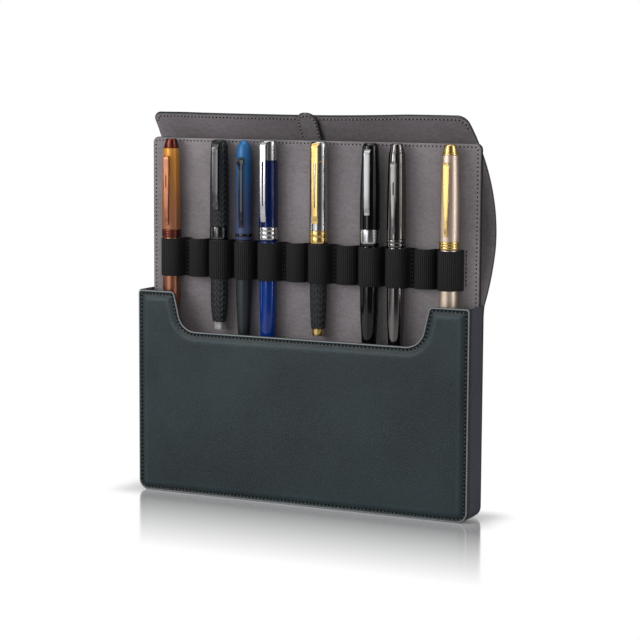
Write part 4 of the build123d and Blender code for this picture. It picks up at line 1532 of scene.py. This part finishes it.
class PENCASE_OT_stage(bpy.types.Operator):
    """Pale floor, white surroundings, soft lights, dark flags and the camera"""
    bl_idname = "pencase.stage"
    bl_label = "Stage"

    def execute(self, context):
        self.floor()
        self.world(context.scene)
        self.lights()
        self.flag("left_flag", -138, -42)
        self.flag("front_flag", 10, 62)
        self.flag("right_flag", 112, 176)
        self.camera(context.scene)
        context.scene.view_settings.view_transform = "Standard"
        return {"FINISHED"}

    def floor(self):
        """Pale floor at the case, with real shadow and painted shade from its darker grey there, its
        reflection in front, and white further away.
        """
        start()
        bpy.ops.mesh.primitive_circle_add(vertices=96, radius=4.0, fill_type="NGON", location=(0, 0, 0))
        floor = bpy.context.object
        floor.name = "floor"
        material, tree, shader = new_material("Pale floor", FLOOR_COLOUR, rough=0.6)
        place = node(tree, "ShaderNodeSeparateXYZ", [(0, place_of(tree))])
        x, y = place.outputs["X"], place.outputs["Y"]
        soft = {"interpolation_type": "SMOOTHSTEP"}
        away = math_node(tree, "SQRT", math_node(tree, "ADD", self.beyond(tree, x, CASE_HALF, 2.0),
                                                 self.beyond(tree, y, CASE_DEEP, 2.0)))
        # Near the case the darker lit floor shows through: real shadow and painted shade
        shade = remap(tree, away, 0.0, SHADE_REACH, SHADE_SHARE, 0.0, **soft)
        # The mirror is kept to the strip of floor that shows the case to the camera
        ahead = math_node(tree, "MULTIPLY_ADD", y, -1.0, -CASE_DEEP)
        line = math_node(tree, "MULTIPLY_ADD", ahead, -MIRROR_ASIDE, x)
        narrowed = math_node(tree, "MULTIPLY_ADD", ahead, -MIRROR_NARROWS, 1.0)
        line = math_node(tree, "SUBTRACT", math_node(tree, "DIVIDE", line, narrowed), MIRROR_MIDDLE)
        across = remap(tree, self.beyond(tree, line, MIRROR_HALF, 1.0), 0.0, MIRROR_EDGE, 1.0, 0.0, **soft)
        along = remap(tree, ahead, 0.0, MIRROR_REACH, MIRROR_SHARE, 0.0)
        begun = remap(tree, ahead, *MIRROR_START, **soft)
        mirrored = math_node(tree, "MULTIPLY", math_node(tree, "MULTIPLY", along, across), begun)
        white = node(tree, "ShaderNodeEmission", [("Color", (1, 1, 1, 1)), ("Strength", 1.0)])
        mirror = node(tree, "ShaderNodeBsdfGlossy", [("Color", (1, 1, 1, 1)), ("Roughness", 0.12)])
        gloss = mix_shaders(tree, mirrored, white, mirror)
        shown = mix_shaders(tree, shade, gloss, shader)
        rays = tree.nodes.new("ShaderNodeLightPath")
        mix = mix_shaders(tree, rays.outputs["Is Camera Ray"], shader, shown)
        tree.links.new(mix.outputs[0], tree.nodes["Material Output"].inputs["Surface"])
        floor.data.materials.append(material)

    def beyond(self, tree, value, half, power):
        """How far a place lies outside the case, as a power of metres."""
        past = math_node(tree, "SUBTRACT", math_node(tree, "ABSOLUTE", value), half)
        return math_node(tree, "POWER", math_node(tree, "MAXIMUM", past, 0.0), power)

    def world(self, scene):
        world = bpy.data.worlds.new("White surroundings")
        scene.world = world
        world.use_nodes = True
        tree = world.node_tree
        light = tree.nodes["Background"]
        light.inputs["Color"].default_value = (1, 1, 1, 1)
        light.inputs["Strength"].default_value = 0.5
        white = node(tree, "ShaderNodeBackground", [("Color", (1, 1, 1, 1)), ("Strength", 1.0)])
        mix = mix_shaders(tree, seen_directly(tree), light, white)
        tree.links.new(mix.outputs[0], tree.nodes["World Output"].inputs["Surface"])

    def lights(self):
        for name, place, power, wide, tall in (
            ("Key", (-0.50, -0.66, 0.42), 4.0, 0.5, 0.5),
            ("Fill", (0.78, -0.86, 0.40), 1.2, 0.3, 0.6),
            ("Front", (-0.16, -1.3, 0.10), 1.2, 0.3, 0.5),
            ("Top", (-0.1, -0.25, 1.3), 3.2, 0.6, 0.6),
            ("Left strip", (-0.70, -0.19, 0.22), 0.5, 0.1, 0.8),
            ("Right strip", (1.0, -0.09, 0.22), 2.2, 0.12, 0.8),
        ):
            data = bpy.data.lights.new(name, "AREA")
            data.shape = "RECTANGLE"
            data.size = wide
            data.size_y = tall
            data.energy = power
            lamp = add_object(name, data)
            lamp.location = place
            look_at(lamp, (0, 0, 0.13))

    def flag(self, name, first_deg, last_deg):
        """Dark studio flag that only reflections show, as polished metal needs."""
        start()
        bpy.ops.mesh.primitive_cylinder_add(vertices=180, radius=FLAG_RADIUS, depth=1.5,
                                            end_fill_type="NOTHING", location=(0, 0, 0.6))
        flag = bpy.context.object
        flag.name = name
        bpy.ops.object.transform_apply(location=True)
        bpy.ops.object.mode_set(mode="EDIT")
        bpy.ops.mesh.select_all(action="DESELECT")
        mesh = bmesh.from_edit_mesh(flag.data)
        for face in mesh.faces:
            middle = face.calc_center_median()
            turn = math.degrees(math.atan2(middle.x, -middle.y))
            face.select_set(not first_deg < turn < last_deg)
        bpy.ops.mesh.delete(type="FACE")
        bpy.ops.object.mode_set(mode="OBJECT")
        flag.data.materials.append(new_material(name, FLAG_COLOUR, rough=1.0)[0])
        flag.visible_camera = False
        flag.visible_diffuse = False
        flag.visible_transmission = False
        flag.visible_shadow = False

    def camera(self, scene):
        data = bpy.data.cameras.new("Photo view")
        data.sensor_width = 36.0
        data.lens = data.sensor_width * FOCAL / PICTURE
        camera = add_object("Photo view", data)
        back = Vector((math.sin(YAW) * math.cos(PITCH), -math.cos(YAW) * math.cos(PITCH), math.sin(PITCH)))
        right = Vector((math.cos(YAW), math.sin(YAW), 0.0))
        up = right.cross(-back)
        right_rolled = right * math.cos(ROLL) + up * math.sin(ROLL)
        up_rolled = up * math.cos(ROLL) - right * math.sin(ROLL)
        eye = (back * DISTANCE + right * SHIFT_RIGHT + up * SHIFT_UP) * MM
        axes = Matrix((right_rolled, up_rolled, back)).transposed()
        camera.matrix_world = Matrix.Translation(eye) @ axes.to_4x4()
        scene.camera = camera


STEPS = (
    PENCASE_OT_finishes, PENCASE_OT_panels, PENCASE_OT_gusset, PENCASE_OT_insert, PENCASE_OT_elastic,
    PENCASE_OT_flap, PENCASE_OT_caps, PENCASE_OT_barrels, PENCASE_OT_clips, PENCASE_OT_stage,
)


class PENCASE_PT_sidebar(bpy.types.Panel):
    """Lists the pieces, sizes and colours"""
    bl_idname = "PENCASE_PT_sidebar"
    bl_label = "Pen case"
    bl_space_type = "VIEW_3D"
    bl_region_type = "UI"
    bl_category = "Pen case"

    def draw(self, context):
        for step in STEPS:
            self.layout.operator(step.bl_idname)
        for holder in (context.scene.case_sizes, context.scene.case_colours, context.scene.pen_colours):
            for key in holder.__annotations__:
                self.layout.prop(holder, key)


CLASSES = (CaseSizes, CaseColours, PenColours) + STEPS + (PENCASE_PT_sidebar,)


def register():
    for item in CLASSES:
        bpy.utils.register_class(item)
    bpy.types.Scene.case_sizes = bpy.props.PointerProperty(type=CaseSizes)
    bpy.types.Scene.case_colours = bpy.props.PointerProperty(type=CaseColours)
    bpy.types.Scene.pen_colours = bpy.props.PointerProperty(type=PenColours)


def unregister():
    del bpy.types.Scene.case_sizes
    del bpy.types.Scene.case_colours
    del bpy.types.Scene.pen_colours
    for item in reversed(CLASSES):
        bpy.utils.unregister_class(item)


def main():
    register()
    for step in STEPS:
        group, name = step.bl_idname.split(".")
        getattr(getattr(bpy.ops, group), name)()


if __name__ == "__main__":
    main()
